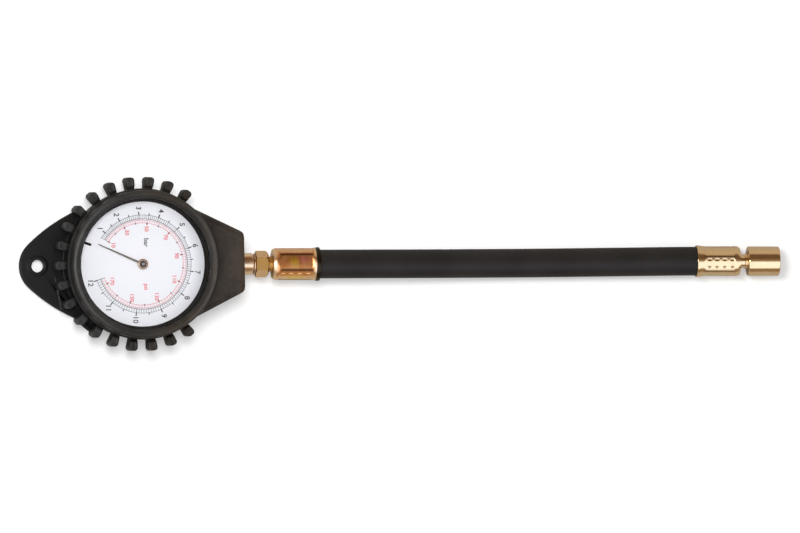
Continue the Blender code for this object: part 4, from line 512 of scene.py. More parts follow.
def passivated():
    """Yellow passivated plating: orange-brown, with olive and plum where the film changes thickness."""
    f = Finish("passivated")
    film = f.noise(170.0, 3.0, 0.6, f.stretched((1.0, 2.2, 2.2)))
    colour = f.ramp(film, ((0.3, (0.76, 0.27, 0.08)), (0.48, (0.85, 0.37, 0.13)), (0.6, (0.88, 0.44, 0.18)),
                           (0.72, (0.78, 0.43, 0.13))))
    # Painted highlight at the ends and painted reflection along the sides, from the mesh's edge number.
    colour = f.mix(f.attribute("edge"), colour, (0.92, 0.67, 0.41))
    colour = f.mix(f.attribute("olive"), colour, (1.0, 0.66, 0.07))
    colour = f.mix(f.attribute("plum"), colour, (0.86, 0.26, 0.21))
    # Painted shade along the ridges and round the lands' ends.
    painted_shade = f.attribute("painted_shade")
    colour = f.mix(painted_shade, colour, (0.055, 0.017, 0.005))
    colour = f.mix(f.attribute("lip"), colour, (0.014, 0.009, 0.006))
    streaks = f.noise(1.0, 2.0, 0.5, f.stretched((700.0, 90.0, 90.0)))
    rough = f.maths("ADD", f.between(streaks, 0.27, 0.4), f.product(painted_shade, 0.2))
    hammer = f.noise(900.0, 3.0)
    return f.done(Base_Color=colour, Metallic=1.0, Roughness=rough,
                  Normal=f.bump(streaks, 0.00002, 0.3, f.bump(hammer, 0.00002, 0.4)))


def hose_rubber():
    """Smooth black hose: long faint streaks from the extruder and a fine matt skin."""
    f = Finish("hose_rubber")
    along = f.node("ShaderNodeUVMap", uv_map="along").outputs["UV"]
    streak = f.noise(1.0, 4.0, 0.6, f.stretched((6.0, 60.0, 1.0), along))
    cloud = f.noise(45.0, 3.0)
    skin = f.noise(2200.0, 2.0)
    colour = f.mix(f.spread(cloud, 0.35, 0.65, 0.0, 1.0), (0.0145, 0.0118, 0.0112), (0.0205, 0.017, 0.0155))
    colour = f.mix(f.spread(streak, 0.45, 0.7, 0.0, 0.5), colour, (0.027, 0.023, 0.02))
    return f.done(Base_Color=colour, Roughness=f.between(skin, 0.42, 0.56),
                  Specular_IOR_Level=0.19, Normal=f.bump(skin, 0.00003, 0.5))


def dial_enamel():
    """White enamel with a breath of lavender, and painted shade greying the rim on the hose's side."""
    f = Finish("dial_enamel")
    x, _, _, radius = f.places()
    speck = f.noise(900.0, 2.0)
    colour = f.mix(f.spread(speck, 0.4, 0.7, 0.0, 0.5), (0.93, 0.925, 0.965), (0.905, 0.9, 0.94))
    # Painted shade: grey along the rim on the hose's side.
    rim = f.product(f.spread(radius, 0.029, 0.0365, 0.0, 1.0), f.spread(x, 0.006, 0.03, 0.0, 0.6))
    colour = f.mix(rim, colour, (0.44, 0.44, 0.465))
    return f.done(Base_Color=colour, Roughness=0.34, Normal=f.bump(speck, 0.00001, 0.2))


def ink(name, colour):
    """Printing ink, a little uneven."""
    f = Finish(name)
    cover = f.noise(3000.0, 2.0)
    light = tuple(value * 1.35 + 0.02 for value in colour)
    return f.done(Base_Color=f.ramp(cover, ((0.35, colour), (0.75, light))), Roughness=0.45)


def pointer_lacquer():
    """Grey-brown lacquer over the pointer's sheet."""
    f = Finish("pointer_lacquer")
    cloud = f.noise(500.0, 3.0)
    return f.done(Base_Color=f.ramp(cloud, ((0.3, (0.17, 0.14, 0.12)), (0.7, (0.27, 0.225, 0.19)))),
                  Metallic=0.2, Roughness=f.between(cloud, 0.38, 0.52))


def clear_window():
    """Clear plastic: see-through, with its surface gloss."""
    f = Finish("clear_window")
    haze = f.noise(600.0, 2.0)
    clear = f.node("ShaderNodeBsdfTransparent", {"Color": (0.99, 0.993, 0.995)})
    gloss = f.node("ShaderNodeBsdfGlossy", {"Roughness": f.between(haze, 0.03, 0.07)})
    edge = f.node("ShaderNodeFresnel", {"IOR": 1.4})
    share = f.product(edge.outputs[0], 0.6)
    both = f.node("ShaderNodeMixShader", {0: share, 1: clear.outputs[0], 2: gloss.outputs[0]})
    f.tree.links.new(both.outputs[0], f.tree.nodes["Material Output"].inputs["Surface"])
    f.tree.nodes.remove(f.shader)
    return f.material


BRASS_TONES = ((0.3, (0.80, 0.56, 0.30)), (0.5, (0.86, 0.63, 0.36)), (0.7, (0.82, 0.61, 0.33)))
# Painted shade on the crimped ferrule: along its ridges, round its lands' ends and in its dents.
PAINTED_BROWN_SHADE = (0.20, 0.10, 0.035)
RUBBER = boot_rubber()
BEZEL_BLACK = satin_black("bezel_black", (0.009, 0.009, 0.009), 0.36)
SPACER_BLACK = satin_black("spacer_black", (0.006, 0.006, 0.006), 0.75, 0.03)
CASE_BLACK = satin_black("case_black", (0.02, 0.02, 0.022), 0.35)
SEAL_RUBBER = satin_black("seal_rubber", (0.016, 0.016, 0.016), 0.62)
HUB_BLACK = satin_black("hub_black", (0.035, 0.03, 0.028), 0.4)
BRASS = turned_metal("turned_brass", BRASS_TONES, 0.14)
# Its painted shade is brown along the ridges and in the dents.
CRIMPED_BRASS = turned_metal("crimped_brass", BRASS_TONES, 0.17, 900.0, painted_shade=PAINTED_BROWN_SHADE)
# Its painted shade is two dark reflection bands on the stub.
STEM_BRASS = turned_metal("stem_brass", ((0.3, (0.94, 0.69, 0.44)), (0.7, (0.98, 0.77, 0.52))), 0.34,
                          painted_shade=(0.36, 0.155, 0.035))
# Its painted shade darkens the hexagon's upward face and its far end.
MILLED_BRASS = turned_metal("milled_brass", ((0.3, (0.80, 0.51, 0.25)), (0.7, (0.90, 0.60, 0.32))), 0.24,
                            500.0, painted_shade=(0.50, 0.28, 0.085))
STEEL = turned_metal("turned_steel", ((0.3, (0.42, 0.42, 0.43)), (0.7, (0.58, 0.58, 0.59))), 0.26)
COPPER = turned_metal("soft_copper", ((0.3, (0.72, 0.50, 0.32)), (0.7, (0.82, 0.61, 0.42))), 0.3)
HUB_COPPER = turned_metal("hub_copper", ((0.3, (0.50, 0.33, 0.22)), (0.7, (0.60, 0.42, 0.29))), 0.3)
WORKS_BRASS = stamped_metal("works_brass", (0.78, 0.58, 0.28), 0.34)
TUBE_BRONZE = stamped_metal("tube_bronze", (0.68, 0.40, 0.22), 0.28)
PASSIVATED = passivated()
HOSE_RUBBER = hose_rubber()
DIAL_WHITE = dial_enamel()
BLACK_INK = ink("black_ink", (0.012, 0.012, 0.014))
RED_INK = ink("red_ink", (0.72, 0.07, 0.08))
POINTER_BROWN = pointer_lacquer()
WINDOW_CLEAR = clear_window()


def dress(thing, material, body="root", replaces=()):
    """Gives a piece its material and slot, and makes it ride on its body."""
    thing.data.materials.clear()
    thing.data.materials.append(material)
    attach(thing, body)
    if replaces:
        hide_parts(*replaces)
    return thing


def turned_piece(name, corners, axis, steps, material, body="root", replaces=(), round_steps=5):
    """A dressed piece turned from a closed profile, about the hose's axis (y, z) or about the dial's."""
    profile = rounded_path(corners, closed=True, steps=round_steps)
    grid = turned_about_z(profile, steps) if axis is None else turned_about_hose(profile, axis, steps)
    return dress(surface(name, grid, loop_rows=True), material, body, replaces)


# Camera, lights and floor


def make_camera():
    """A level camera far above, leaning to the left, that draws every pixel 0.56 mm wide."""
    camera = bpy.data.cameras.new("camera")
    camera.type = "ORTHO"
    camera.ortho_scale = IMAGE_WIDTH * PIXEL * MM
    camera.clip_end = 10.0
    thing = in_scene("camera", camera)
    back = Vector((-math.sin(VIEW_LEAN), 0.0, math.cos(VIEW_LEAN)))
    thing.location = Vector(VIEW_CENTRE) * MM + back
    thing.rotation_euler = (0.0, -VIEW_LEAN, 0.0)
    bpy.context.scene.camera = thing


def make_lamp(name, place, aim, size, power, **seen_by):
    """A soft rectangular lamp."""
    lamp = bpy.data.lights.new(name, "AREA")
    lamp.shape = "RECTANGLE"
    lamp.size, lamp.size_y = size
    lamp.energy = power
    thing = in_scene(name, lamp)
    thing.location = place
    thing.rotation_euler = (Vector(aim) - Vector(place)).to_track_quat("-Z", "Y").to_euler()
    for key, value in seen_by.items():
        setattr(thing, key, value)
    return thing


def make_world():
    """White to the camera, soft light to dull surfaces, and a studio of strips along the hose to gloss."""
    world = bpy.data.worlds.new("studio")
    bpy.context.scene.world = world
    world.use_nodes = True
    tree = world.node_tree
    tree.nodes.clear()
    out = add_node(tree, "ShaderNodeTexCoord").outputs["Generated"]
    split = add_node(tree, "ShaderNodeSeparateXYZ", {"Vector": out})
    across = {0: split.outputs["Y"], 1: split.outputs["Z"]}
    angle = add_node(tree, "ShaderNodeMath", across, operation="ARCTAN2").outputs[0]
    over = {"Value": angle, "From Min": -math.pi / 2, "From Max": math.pi / 2}
    share = add_node(tree, "ShaderNodeMapRange", over).outputs["Result"]
    strips = add_ramp(tree, share, [(degrees / 180.0 + 0.5, colour) for degrees, colour in STRIPS])
    path = add_node(tree, "ShaderNodeLightPath")

    def light(colour, strength):
        return add_node(tree, "ShaderNodeBackground", {"Color": colour, "Strength": strength}).outputs[0]

    def by_ray(ray, others, seen):
        return add_node(tree, "ShaderNodeMixShader", {0: path.outputs[ray], 1: others, 2: seen}).outputs[0]

    unseen = by_ray("Is Glossy Ray", light(WHITE, SOFT_LIGHT), light(strips, 1.0))
    both = by_ray("Is Camera Ray", unseen, light(WHITE, 1.0))
    add_node(tree, "ShaderNodeOutputWorld", {"Surface": both})


def make_floor():
    """A wide white floor that keeps the gauge's shadow, white to the camera and a warm grey to gloss."""
    signs = ((-1, -1), (1, -1), (1, 1), (-1, 1))
    corners = [(x * FLOOR_HALF, y * FLOOR_HALF, FLOOR_LEVEL) for x, y in signs]
    mesh = bpy.data.meshes.new("floor")
    mesh.from_pydata(corners, [], [(0, 1, 2, 3)])
    floor = in_scene("floor", mesh)
    f = Finish("floor_white")
    path = f.node("ShaderNodeLightPath")
    seen = f.maths("MAXIMUM", path.outputs["Is Camera Ray"], path.outputs["Is Transmission Ray"])
    colour = f.mix(path.outputs["Is Glossy Ray"], FLOOR_TONE, FLOOR_IN_GLOSS)
    floor.data.materials.append(f.done(Base_Color=colour, Roughness=1.0, Specular_IOR_Level=0.0,
                                       Emission_Color=WHITE, Emission_Strength=f.product(seen, FLOOR_GLOW)))


make_camera()
make_world()
make_floor()
make_lamp("key", (-0.15, 0.24, 1.15), (0.08, 0.0, 0.0), (0.38, 0.38), 9.0, visible_glossy=False)
make_lamp("side", (-0.62, 0.03, 0.80), (-0.02, 0.0, 0.02), (0.14, 0.50), 7.0, visible_diffuse=False)


# Hose


def smooth_route(count):
    """The hose's middle line: a smooth curve through the route's points, read at even steps.

    Between two points it is half of (2b + (c-a)t + (2a-5b+4c-d)t² + (3b-a-3c+d)t³).
    """
    ends = np.vstack((2 * HOSE_ROUTE[0] - HOSE_ROUTE[1], HOSE_ROUTE, 2 * HOSE_ROUTE[-1] - HOSE_ROUTE[-2]))
    a, b, c, d = (ends[i:len(ends) - 3 + i][:, None, :] for i in range(4))
    t = np.linspace(0.0, 1.0, 24, endpoint=False)[None, :, None]
    dense = 2 * b + (c - a) * t + (2 * a - 5 * b + 4 * c - d) * t ** 2 + (3 * b - a - 3 * c + d) * t ** 3
    return evenly(np.vstack((0.5 * dense.reshape(-1, 3), HOSE_ROUTE[-1:])), count, closed=False)


def make_hose(rows=260, columns=96):
    """A tube round the middle line: middle + radius (side sin a + up cos a), squeezed in the ferrules."""
    middle, length = smooth_route(rows)
    heading = np.gradient(middle, axis=0)
    heading /= np.linalg.norm(heading, axis=1, keepdims=True)
    side = np.cross(np.array((0.0, 0.0, 1.0)), heading)
    side /= np.linalg.norm(side, axis=1, keepdims=True)
    up = np.cross(heading, side)
    near_mouth, far_mouth = NEAR_FERRULE_X + NEAR_FERRULE_LENGTH, FAR_FERRULE_X
    free, squeezed = 0.3, 2.8
    out = smooth_step(middle[:, 0], near_mouth - squeezed, near_mouth - free)
    out = out * (1.0 - smooth_step(middle[:, 0], far_mouth + free, far_mouth + squeezed))
    radius = HOSE_CRIMPED_RADIUS + (HOSE_RADIUS - HOSE_CRIMPED_RADIUS) * out
    angle = np.arange(columns) * TURN / columns
    around = side[:, None] * np.sin(angle)[None, :, None] + up[:, None] * np.cos(angle)[None, :, None]
    tube = middle[:, None] + radius[:, None, None] * around
    start, end = (np.broadcast_to(middle[row], (1, columns, 3)) for row in (0, -1))
    hose = surface("hose_tube", np.concatenate((start, tube, end)))
    corner_point = np.zeros(len(hose.data.loops), np.int32)
    hose.data.loops.foreach_get("vertex_index", corner_point)
    x, y, z = points_of(hose.data).T
    axis_y, axis_z = (np.interp(x, middle[:, 0], middle[:, axis]) for axis in (1, 2))
    around_share = np.abs(np.arctan2(y - axis_y, z - axis_z)) / math.pi
    uv = np.column_stack(((x - middle[0, 0]) / length, around_share))[corner_point]
    along = hose.data.uv_layers.new(name="along")
    along.data.foreach_set("uv", uv.astype(np.float32).ravel())
    dress(hose, HOSE_RUBBER, replaces=("hose",))
    return hose, length


hose, hose_length = make_hose()


# Crimped ferrules


def from_land(angle, land_centre):
    """How far an angle is from the middle of the nearest of six lands, or of a hexagon's six faces."""
    sixth = TURN / 6
    return np.abs((angle - land_centre + sixth / 2) % sixth - sixth / 2)


def lands(along, off, first, last, run_out):
    """One on the crimped lands and nought on the ridges and beyond the ends.

    Across, a land falls off close to its ridge; along, its ends curve inwards at the ridges.
    """
    across = 1.0 - smooth_step(off, math.radians(25.0), math.radians(28.6))
    curve = run_out * 0.7 * (off / math.radians(30.0)) ** 2
    start = smooth_step(along, first + curve, first + curve + run_out)
    end = 1.0 - smooth_step(along, last - curve - run_out, last - curve)
    return across * start * end


def dents(along, angle, radius, places, depth, half_long, half_wide):
    """Small pits pressed by the crimping tool: a bell curve in both directions round each place."""
    total = np.zeros(np.broadcast(along, angle).shape)
    for place, turn in places:
        off = (angle - turn + math.pi) % TURN - math.pi
        total = total + np.exp(-(((along - place) / half_long) ** 4) - ((off * radius / half_wide) ** 4))
    return depth * np.clip(total, 0.0, 1.0)


def crimped_ferrule(name, start, length, mouth_at_end, axis, sizes, flatness, land_centre, pits, pit_size):
    """A ferrule about the hose: radius = profile - land depth - dents, over distance and angle.

    A land's radius is its middle's over the cosine of flatness times the angle from that middle.
    The distance runs from the closed end to the bell mouth. Sizes are (body, land, bell, bore,
    neck hole) radii, and a pit's size is (depth, half length, half width).
    """
    body, land, bell, bore, neck_hole = sizes
    angle = np.arange(360) * TURN / 360
    outer = rounded_path((
        (0.0, neck_hole), (0.0, body - 0.75, 0.15), (1.5, body, 0.4), (length - 4.1, body, 0.8),
        (length - 2.2, bell - 0.2, 0.5), (length - 1.2, bell, 0.1), (length, bell, 0.25),
        (length, bore + 0.95, 0.2),
    ))
    low, high = 2.1, length - 4.95
    middle = np.column_stack((np.linspace(low, high, 150), np.full(150, body)))[1:-1]
    before, after = outer[outer[:, 0] <= low], outer[-int(np.sum(outer[:, 0] >= high)):]
    outer = np.concatenate((before, middle, after))
    inner = np.array((
        (length - 2.6, bore + 0.95), (length - 3.6, bore), (1.6, bore), (1.6, neck_hole), (0.0, neck_hole),
    ))
    along = outer[:, :1]
    off = from_land(angle, land_centre)
    recess = lands(along, off, first=2.5, last=length - 3.4, run_out=1.4)
    radius = outer[:, 1:] - (body - land / np.cos(flatness * off)) * recess
    radius = radius - recess * dents(along, angle, land, pits, *pit_size)
    radius = np.concatenate((radius, inner[:, 1:] + 0.0 * angle))
    along = np.concatenate((along, inner[:, :1]))
    x = start + along if mouth_at_end else start + length - along
    return surface(name, around_hose(x, radius, angle, axis), loop_rows=True, sharp=50.0)


def oxide_at(along, angle, length, land_centre, pits, pit_long, pit_wide, radius):
    """Painted shade: along both sides of each ridge, round the lands' ends and in the dents."""
    off = from_land(angle, land_centre)
    on_lands = smooth_step(along, 2.9, 4.2) * (1.0 - smooth_step(along, length - 4.6, length - 3.4))
    sides = 0.96 * hump(off, math.radians(28.0), math.radians(4.2)) * on_lands
    ends = 0.6 * hump(along, 3.5, 0.5) * smooth_step(off, math.radians(10.0), math.radians(27.0))
    pressed = dents(along, angle, radius, pits, 0.9, pit_long, pit_wide)
    return np.maximum(np.maximum(sides, ends), pressed)


def make_near_ferrule():
    """The passivated ferrule at the gauge's end, with tinted patches on its film, painted highlights at
    its ends, painted reflection along its sides and painted shade along its ridges.
    """
    pits = [(place, NEAR_LAND_CENTRE + math.radians(17.0 + 60.0 * land))
            for land in (3, 5) for place in (5.4, 9.9, 14.7, 19.4)]
    ferrule = crimped_ferrule("near_ferrule_crimped", NEAR_FERRULE_X, NEAR_FERRULE_LENGTH, True, NEAR_AXIS,
                              (8.9, 8.28, 9.45, 7.85, 4.5), 0.85, NEAR_LAND_CENTRE, pits, (0.36, 1.35, 0.9))
    places = points_of(ferrule.data)
    along = places[:, 0] - NEAR_FERRULE_X
    turn = turn_about(places, NEAR_AXIS)
    low_tint = 0.5 * hump(along, 12.0, 6.0) * hump(turn, -62.0, 14.0)
    # Painted highlight at both ends and painted reflection along the upper and lower sides.
    away = np.maximum(smooth_step(along, 22.3, 23.6), 1.0 - smooth_step(along, 0.0, 3.4))
    paler = np.where(turn > 0.0, 0.5, 0.9) * smooth_step(np.abs(turn), 46.0, 62.0)
    # Painted shade along both sides of each ridge and round the lands' ends.
    brown = oxide_at(along, np.radians(turn), NEAR_FERRULE_LENGTH, NEAR_LAND_CENTRE, [], 0.9, 0.6, 8.4)
    add_number(ferrule, "olive", 0.9 * hump(along, 11.8, 2.6) * hump(turn, 12.0, 16.0) + low_tint)
    add_number(ferrule, "plum", 0.8 * hump(along, 17.0, 3.4) * hump(turn, 20.0, 17.0))
    add_number(ferrule, "edge", np.maximum(away, paler))
    add_number(ferrule, "painted_shade", brown)
    add_number(ferrule, "lip", 0.97 * smooth_step(along, 23.9, 24.3))
    dress(ferrule, PASSIVATED, replaces=("near_ferrule",))


def make_far_ferrule():
    """The bright ferrule at the chuck's end, with two rows of dents on each land."""
    pits = [(place, FAR_LAND_CENTRE + math.radians(turn + 60.0 * land))
            for land in (0, 2, 4) for turn in (-13.0, 18.0) for place in (4.9, 9.3, 13.6, 17.8)]
    ferrule = crimped_ferrule("far_ferrule_crimped", FAR_FERRULE_X, FAR_FERRULE_LENGTH, False, FAR_AXIS,
                              (8.4, 8.0, 8.9, 7.7, 4.1), 0.6, FAR_LAND_CENTRE, pits, (0.24, 1.05, 0.6))
    places = points_of(ferrule.data)
    along = FAR_FERRULE_X + FAR_FERRULE_LENGTH - places[:, 0]
    angle = np.radians(turn_about(places, FAR_AXIS))
    # Painted shade along the ridges, round the lands' ends and in the dents.
    brown = oxide_at(along, angle, FAR_FERRULE_LENGTH, FAR_LAND_CENTRE, pits, 0.8, 0.45, 8.1)
    add_number(ferrule, "painted_shade", 0.8 * brown)
    return dress(ferrule, CRIMPED_BRASS, replaces=("far_ferrule",))


make_near_ferrule()
far_ferrule = make_far_ferrule()


# Far neck and chuck


def make_hose_tail():
    """The turned neck that the chuck turns on, with its ring, its flange and the bore through it."""
    start, end, neck = 333.0, 348.5, FAR_NECK_RADIUS
    corners = (
        (start, 1.5), (start, 3.2), (336.0, 3.2), (336.0, 6.4), (338.3, 6.4), (338.3, neck, 0.2),
        (343.2, neck, 0.3), (343.5, neck + 0.5, 0.15), (344.5, neck + 0.5, 0.15), (344.5, neck),
        (346.9, neck), (346.9, 5.2), (end, 5.2), (end, 1.5),
    )
    return turned_piece("turned_tail", corners, FAR_AXIS, 120, BRASS, replaces=("hose_tail",))


def make_chuck_body():
    """The chuck's plain barrel, with softly broken corners and a bored chamber."""
    bore, edge, end = FAR_NECK_RADIUS + 0.07, 0.8, CHUCK_X + CHUCK_LENGTH
    corners = (
        (CHUCK_X, bore), (CHUCK_X, CHUCK_RADIUS, edge), (end, CHUCK_RADIUS, edge),
        (end, CHUCK_CHAMBER, 0.2), (CHUCK_X + 1.8, CHUCK_CHAMBER), (CHUCK_X + 1.8, bore),
    )
    return turned_piece("chuck_barrel", corners, FAR_AXIS, 180, BRASS, "chuck", ("chuck_body",), 9)


def make_chuck_bush():
    """The bush in the chuck's mouth, with a rounded lead-in."""
    start, end, bore, outer = 355.0, 362.3, 4.1, 5.5
    corners = (
        (start, bore), (end - 0.9, bore, 0.3), (end, bore + 0.9, 0.2), (end, outer, 0.2), (start, outer),
    )
    return turned_piece("chuck_bush", corners, FAR_AXIS, 120, BRASS, "chuck", ("chuck_retainer",))


hose_tail = make_hose_tail()
chuck_body = make_chuck_body()
chuck_bush = make_chuck_bush()


# Boot


def make_boot_cup():
    """The boot's cup with its rolled lip: a closed profile carried round the dial's axis."""
    profile = rounded_path((
        (0.0, 0.0), (BOOT_RADIUS, 0.0, 1.6), (BOOT_RADIUS, RIB_TOP - 0.4, 0.3),
        (BOOT_RADIUS + 0.9, RIB_TOP + 0.1, 0.3), (BOOT_RADIUS + 0.9, RIB_TOP + 1.3, 0.7),
        (BOOT_RADIUS, RIB_TOP + 2.0, 0.5), (BOOT_RADIUS, 32.7, 0.9), (41.0, 33.9, 0.6),
        (39.5, BOOT_TOP + 0.18, 0.9), (38.3, 33.9, 0.7), (BOOT_LIP_RADIUS + 0.1, 32.9, 0.35),
        (BOOT_LIP_RADIUS + 0.1, 32.75), (38.2, 32.6), (POCKET_RADIUS, 31.7),
        (POCKET_RADIUS, BOOT_FLOOR, 0.5), (0.0, BOOT_FLOOR),
    ), steps=7)
    cup = surface("boot_cup", turned_about_z(profile, 288))
    dress(cup, RUBBER, replaces=("rubber_boot",))


def rib_outline():
    """A rib seen from above, from one root round the tip to the other: a small cove and a blunt tip."""
    cove = 0.6
    quarter = quarter_turn(6)
    root_x = BOOT_RADIUS + cove * (1 - np.cos(quarter))
    root_y = -(RIB_BASE_HALF + cove * (1 - np.sin(quarter)))
    root = np.vstack(((WALL_MIDDLE, root_y[0]), np.column_stack((root_x, root_y))))
    tip = (BOOT_RADIUS + RIB_REACH - RIB_TIP_ROUND, RIB_TIP_ROUND - RIB_TIP_HALF)
    corner = arc(tip, RIB_TIP_ROUND, -math.pi / 2, 0.0, 9)
    flank = root[-1] + (corner[0] - root[-1]) * np.linspace(0.0, 1.0, 6)[1:-1, None]
    half = np.vstack((root, flank, corner))
    return np.vstack((half, half[::-1] * (1.0, -1.0)))


def outline_normals(outline):
    """Unit vectors out of a closed outline that runs anticlockwise."""
    along = np.roll(outline, -1, axis=0) - np.roll(outline, 1, axis=0)
    out = np.column_stack((along[:, 1], -along[:, 0]))
    return out / np.linalg.norm(out, axis=1, keepdims=True)


def make_ribs():
    """Nineteen bumper ribs: the outline stacked up in height, drawn in round the top and bottom edges.

    At the top the outline closes onto the rib's middle line over a slightly dished face, which
    sinks towards the wall.
    """
    outline = rib_outline()
    normal = outline_normals(outline)
    spine = outline * (1.0, 0.0)
    spine[:, 0] = np.clip(spine[:, 0], BOOT_RADIUS, BOOT_RADIUS + RIB_REACH - RIB_TIP_HALF)
    edge = 0.9
    quarter = quarter_turn(6)
    levels = [(RIB_BOTTOM, edge, closing) for closing in (1.0, 0.55, 0.0)]
    levels += [(RIB_BOTTOM + edge * (1 - math.cos(a)), edge * (1 - math.sin(a)), 0.0) for a in quarter[1:]]
    levels += [(RIB_TOP - edge * (1 - math.sin(a)), edge * (1 - math.cos(a)), 0.0) for a in quarter]
    levels += [(RIB_TOP - sunk, edge, closing)
               for sunk, closing in ((0.12, 0.25), (0.22, 0.4), (0.24, 0.7), (0.24, 1.0))]
    rings = []
    for height, inset, closing in levels:
        ring = outline - normal * inset
        ring = ring + (spine - ring) * closing
        rings.append(np.column_stack((ring, np.full(len(ring), height))))
    rib = np.array(rings)
    near_wall = 1.0 - smooth_step(rib[..., 0], BOOT_RADIUS + 0.7, BOOT_RADIUS + 2.6)
    rib[..., 2] -= RIB_SINK * near_wall * smooth_step(rib[..., 2], 0.7 * RIB_TOP, RIB_TOP)
    turns = math.pi + BOOT_TURN + (np.arange(RIB_COUNT) - (RIB_COUNT - 1) / 2) * RIB_PITCH
    ribs = surface("boot_ribs", turned_by(rib[None], turns[:, None, None]))
    dress(ribs, RUBBER, replaces=("rubber_boot",))


def arc(centre, radius, first, last, count):
    """Points along an arc."""
    angle = np.linspace(first, last, count)
    return np.column_stack((centre[0] + radius * np.cos(angle), centre[1] + radius * np.sin(angle)))


def tab_outline():
    """The tab from above: arched flanks, a round nose, the skirt under the lower ribs, and the root."""
    first, last = math.radians(134.0), math.radians(113.2)
    arch = TAB_FLANK_RADIUS - TAB_NOSE_RADIUS
    centre = (TAB_NOSE_X - arch * math.cos(first), -arch * math.sin(first))
    upper = arc(centre, TAB_FLANK_RADIUS, last, first, 60)[:-1]
    nose = arc((TAB_NOSE_X, 0.0), TAB_NOSE_RADIUS, first, TURN - first, 60)
    skirt = arc((0.0, 0.0), SKIRT_RADIUS, math.radians(220.0), math.radians(238.0), 16)
    root = arc((0.0, 0.0), WALL_MIDDLE, math.radians(238.0), math.radians(137.0), 60)
    return evenly(np.vstack((upper, nose, upper[::-1] * (1.0, -1.0), skirt, root)), 300)[0]


def make_tab():
    """The hang tab: rings that spread from the hole to the outline, over a height.

    The height is the plate's, plus a raised ring round the hole, a cove at the cup's wall and a
    faint step across the lower half.
    """
    outline = tab_outline()
    normal = outline_normals(outline)
    seen = np.unwrap(np.arctan2(outline[:, 1], outline[:, 0] - HOLE_X))
    seen = np.maximum.accumulate(seen) if seen[-1] > seen[0] else np.minimum.accumulate(seen)
    ring = np.column_stack((np.cos(seen), np.sin(seen)))
    centre = np.array((HOLE_X, 0.0))
    slant = math.radians(10.3)
    step_x, step_y = -46.9, -7.7

    def height(place):
        """The top's height over a place."""
        x, y = place.T
        from_hole = np.hypot(x - HOLE_X, y) - HOLE_RADIUS
        top = TAB_THICK + 1.0 - smooth_step(from_hole, 1.3, 2.6)
        top = top - 0.45 * (1.0 - smooth_step(from_hole, 0.0, 0.8))
        top = top + 1.2 * smooth_step(BOOT_RADIUS + 1.2 - np.hypot(x, y), 0.0, 1.4) ** 2
        across = (x - step_x) * math.cos(slant) + (y - step_y) * math.sin(slant)
        low_half = smooth_step(-y, 5.0, 9.0) * smooth_step(y, -29.0, -25.0)
        return top + 0.35 * smooth_step(across, -0.3, 0.3) * low_half

    places = [centre + ring * HOLE_RADIUS]
    heights = [np.full(len(ring), 0.4)]
    for distance in (*np.linspace(0.0, 3.0, 16), 3.5):
        places.append(centre + ring * (HOLE_RADIUS + distance))
        heights.append(height(places[-1]))
    inner = places[-1]
    shoulder = outline - normal * TAB_RIM
    for share in np.linspace(0.0, 1.0, 60)[1:]:
        places.append(inner + (shoulder - inner) * share)
        heights.append(height(places[-1]))
    for a in quarter_turn(7)[1:]:
        places.append(outline - normal * TAB_RIM * (1 - math.sin(a)))
        heights.append(height(places[-1]) - TAB_RIM * (1 - math.cos(a)))
    for a in quarter_turn(4):
        places.append(outline - normal * 0.5 * (1 - math.cos(a)))
        heights.append(np.full(len(ring), 0.5 * (1 - math.sin(a))))
    places.append(centre + ring * (HOLE_RADIUS + 0.4))
    heights.append(np.zeros(len(ring)))
    grid = np.concatenate((np.array(places), np.array(heights)[..., None]), axis=-1)
    tab = surface("boot_tab", turned_by(grid, BOOT_TURN), loop_rows=True)
    dress(tab, RUBBER, replaces=("rubber_boot",))


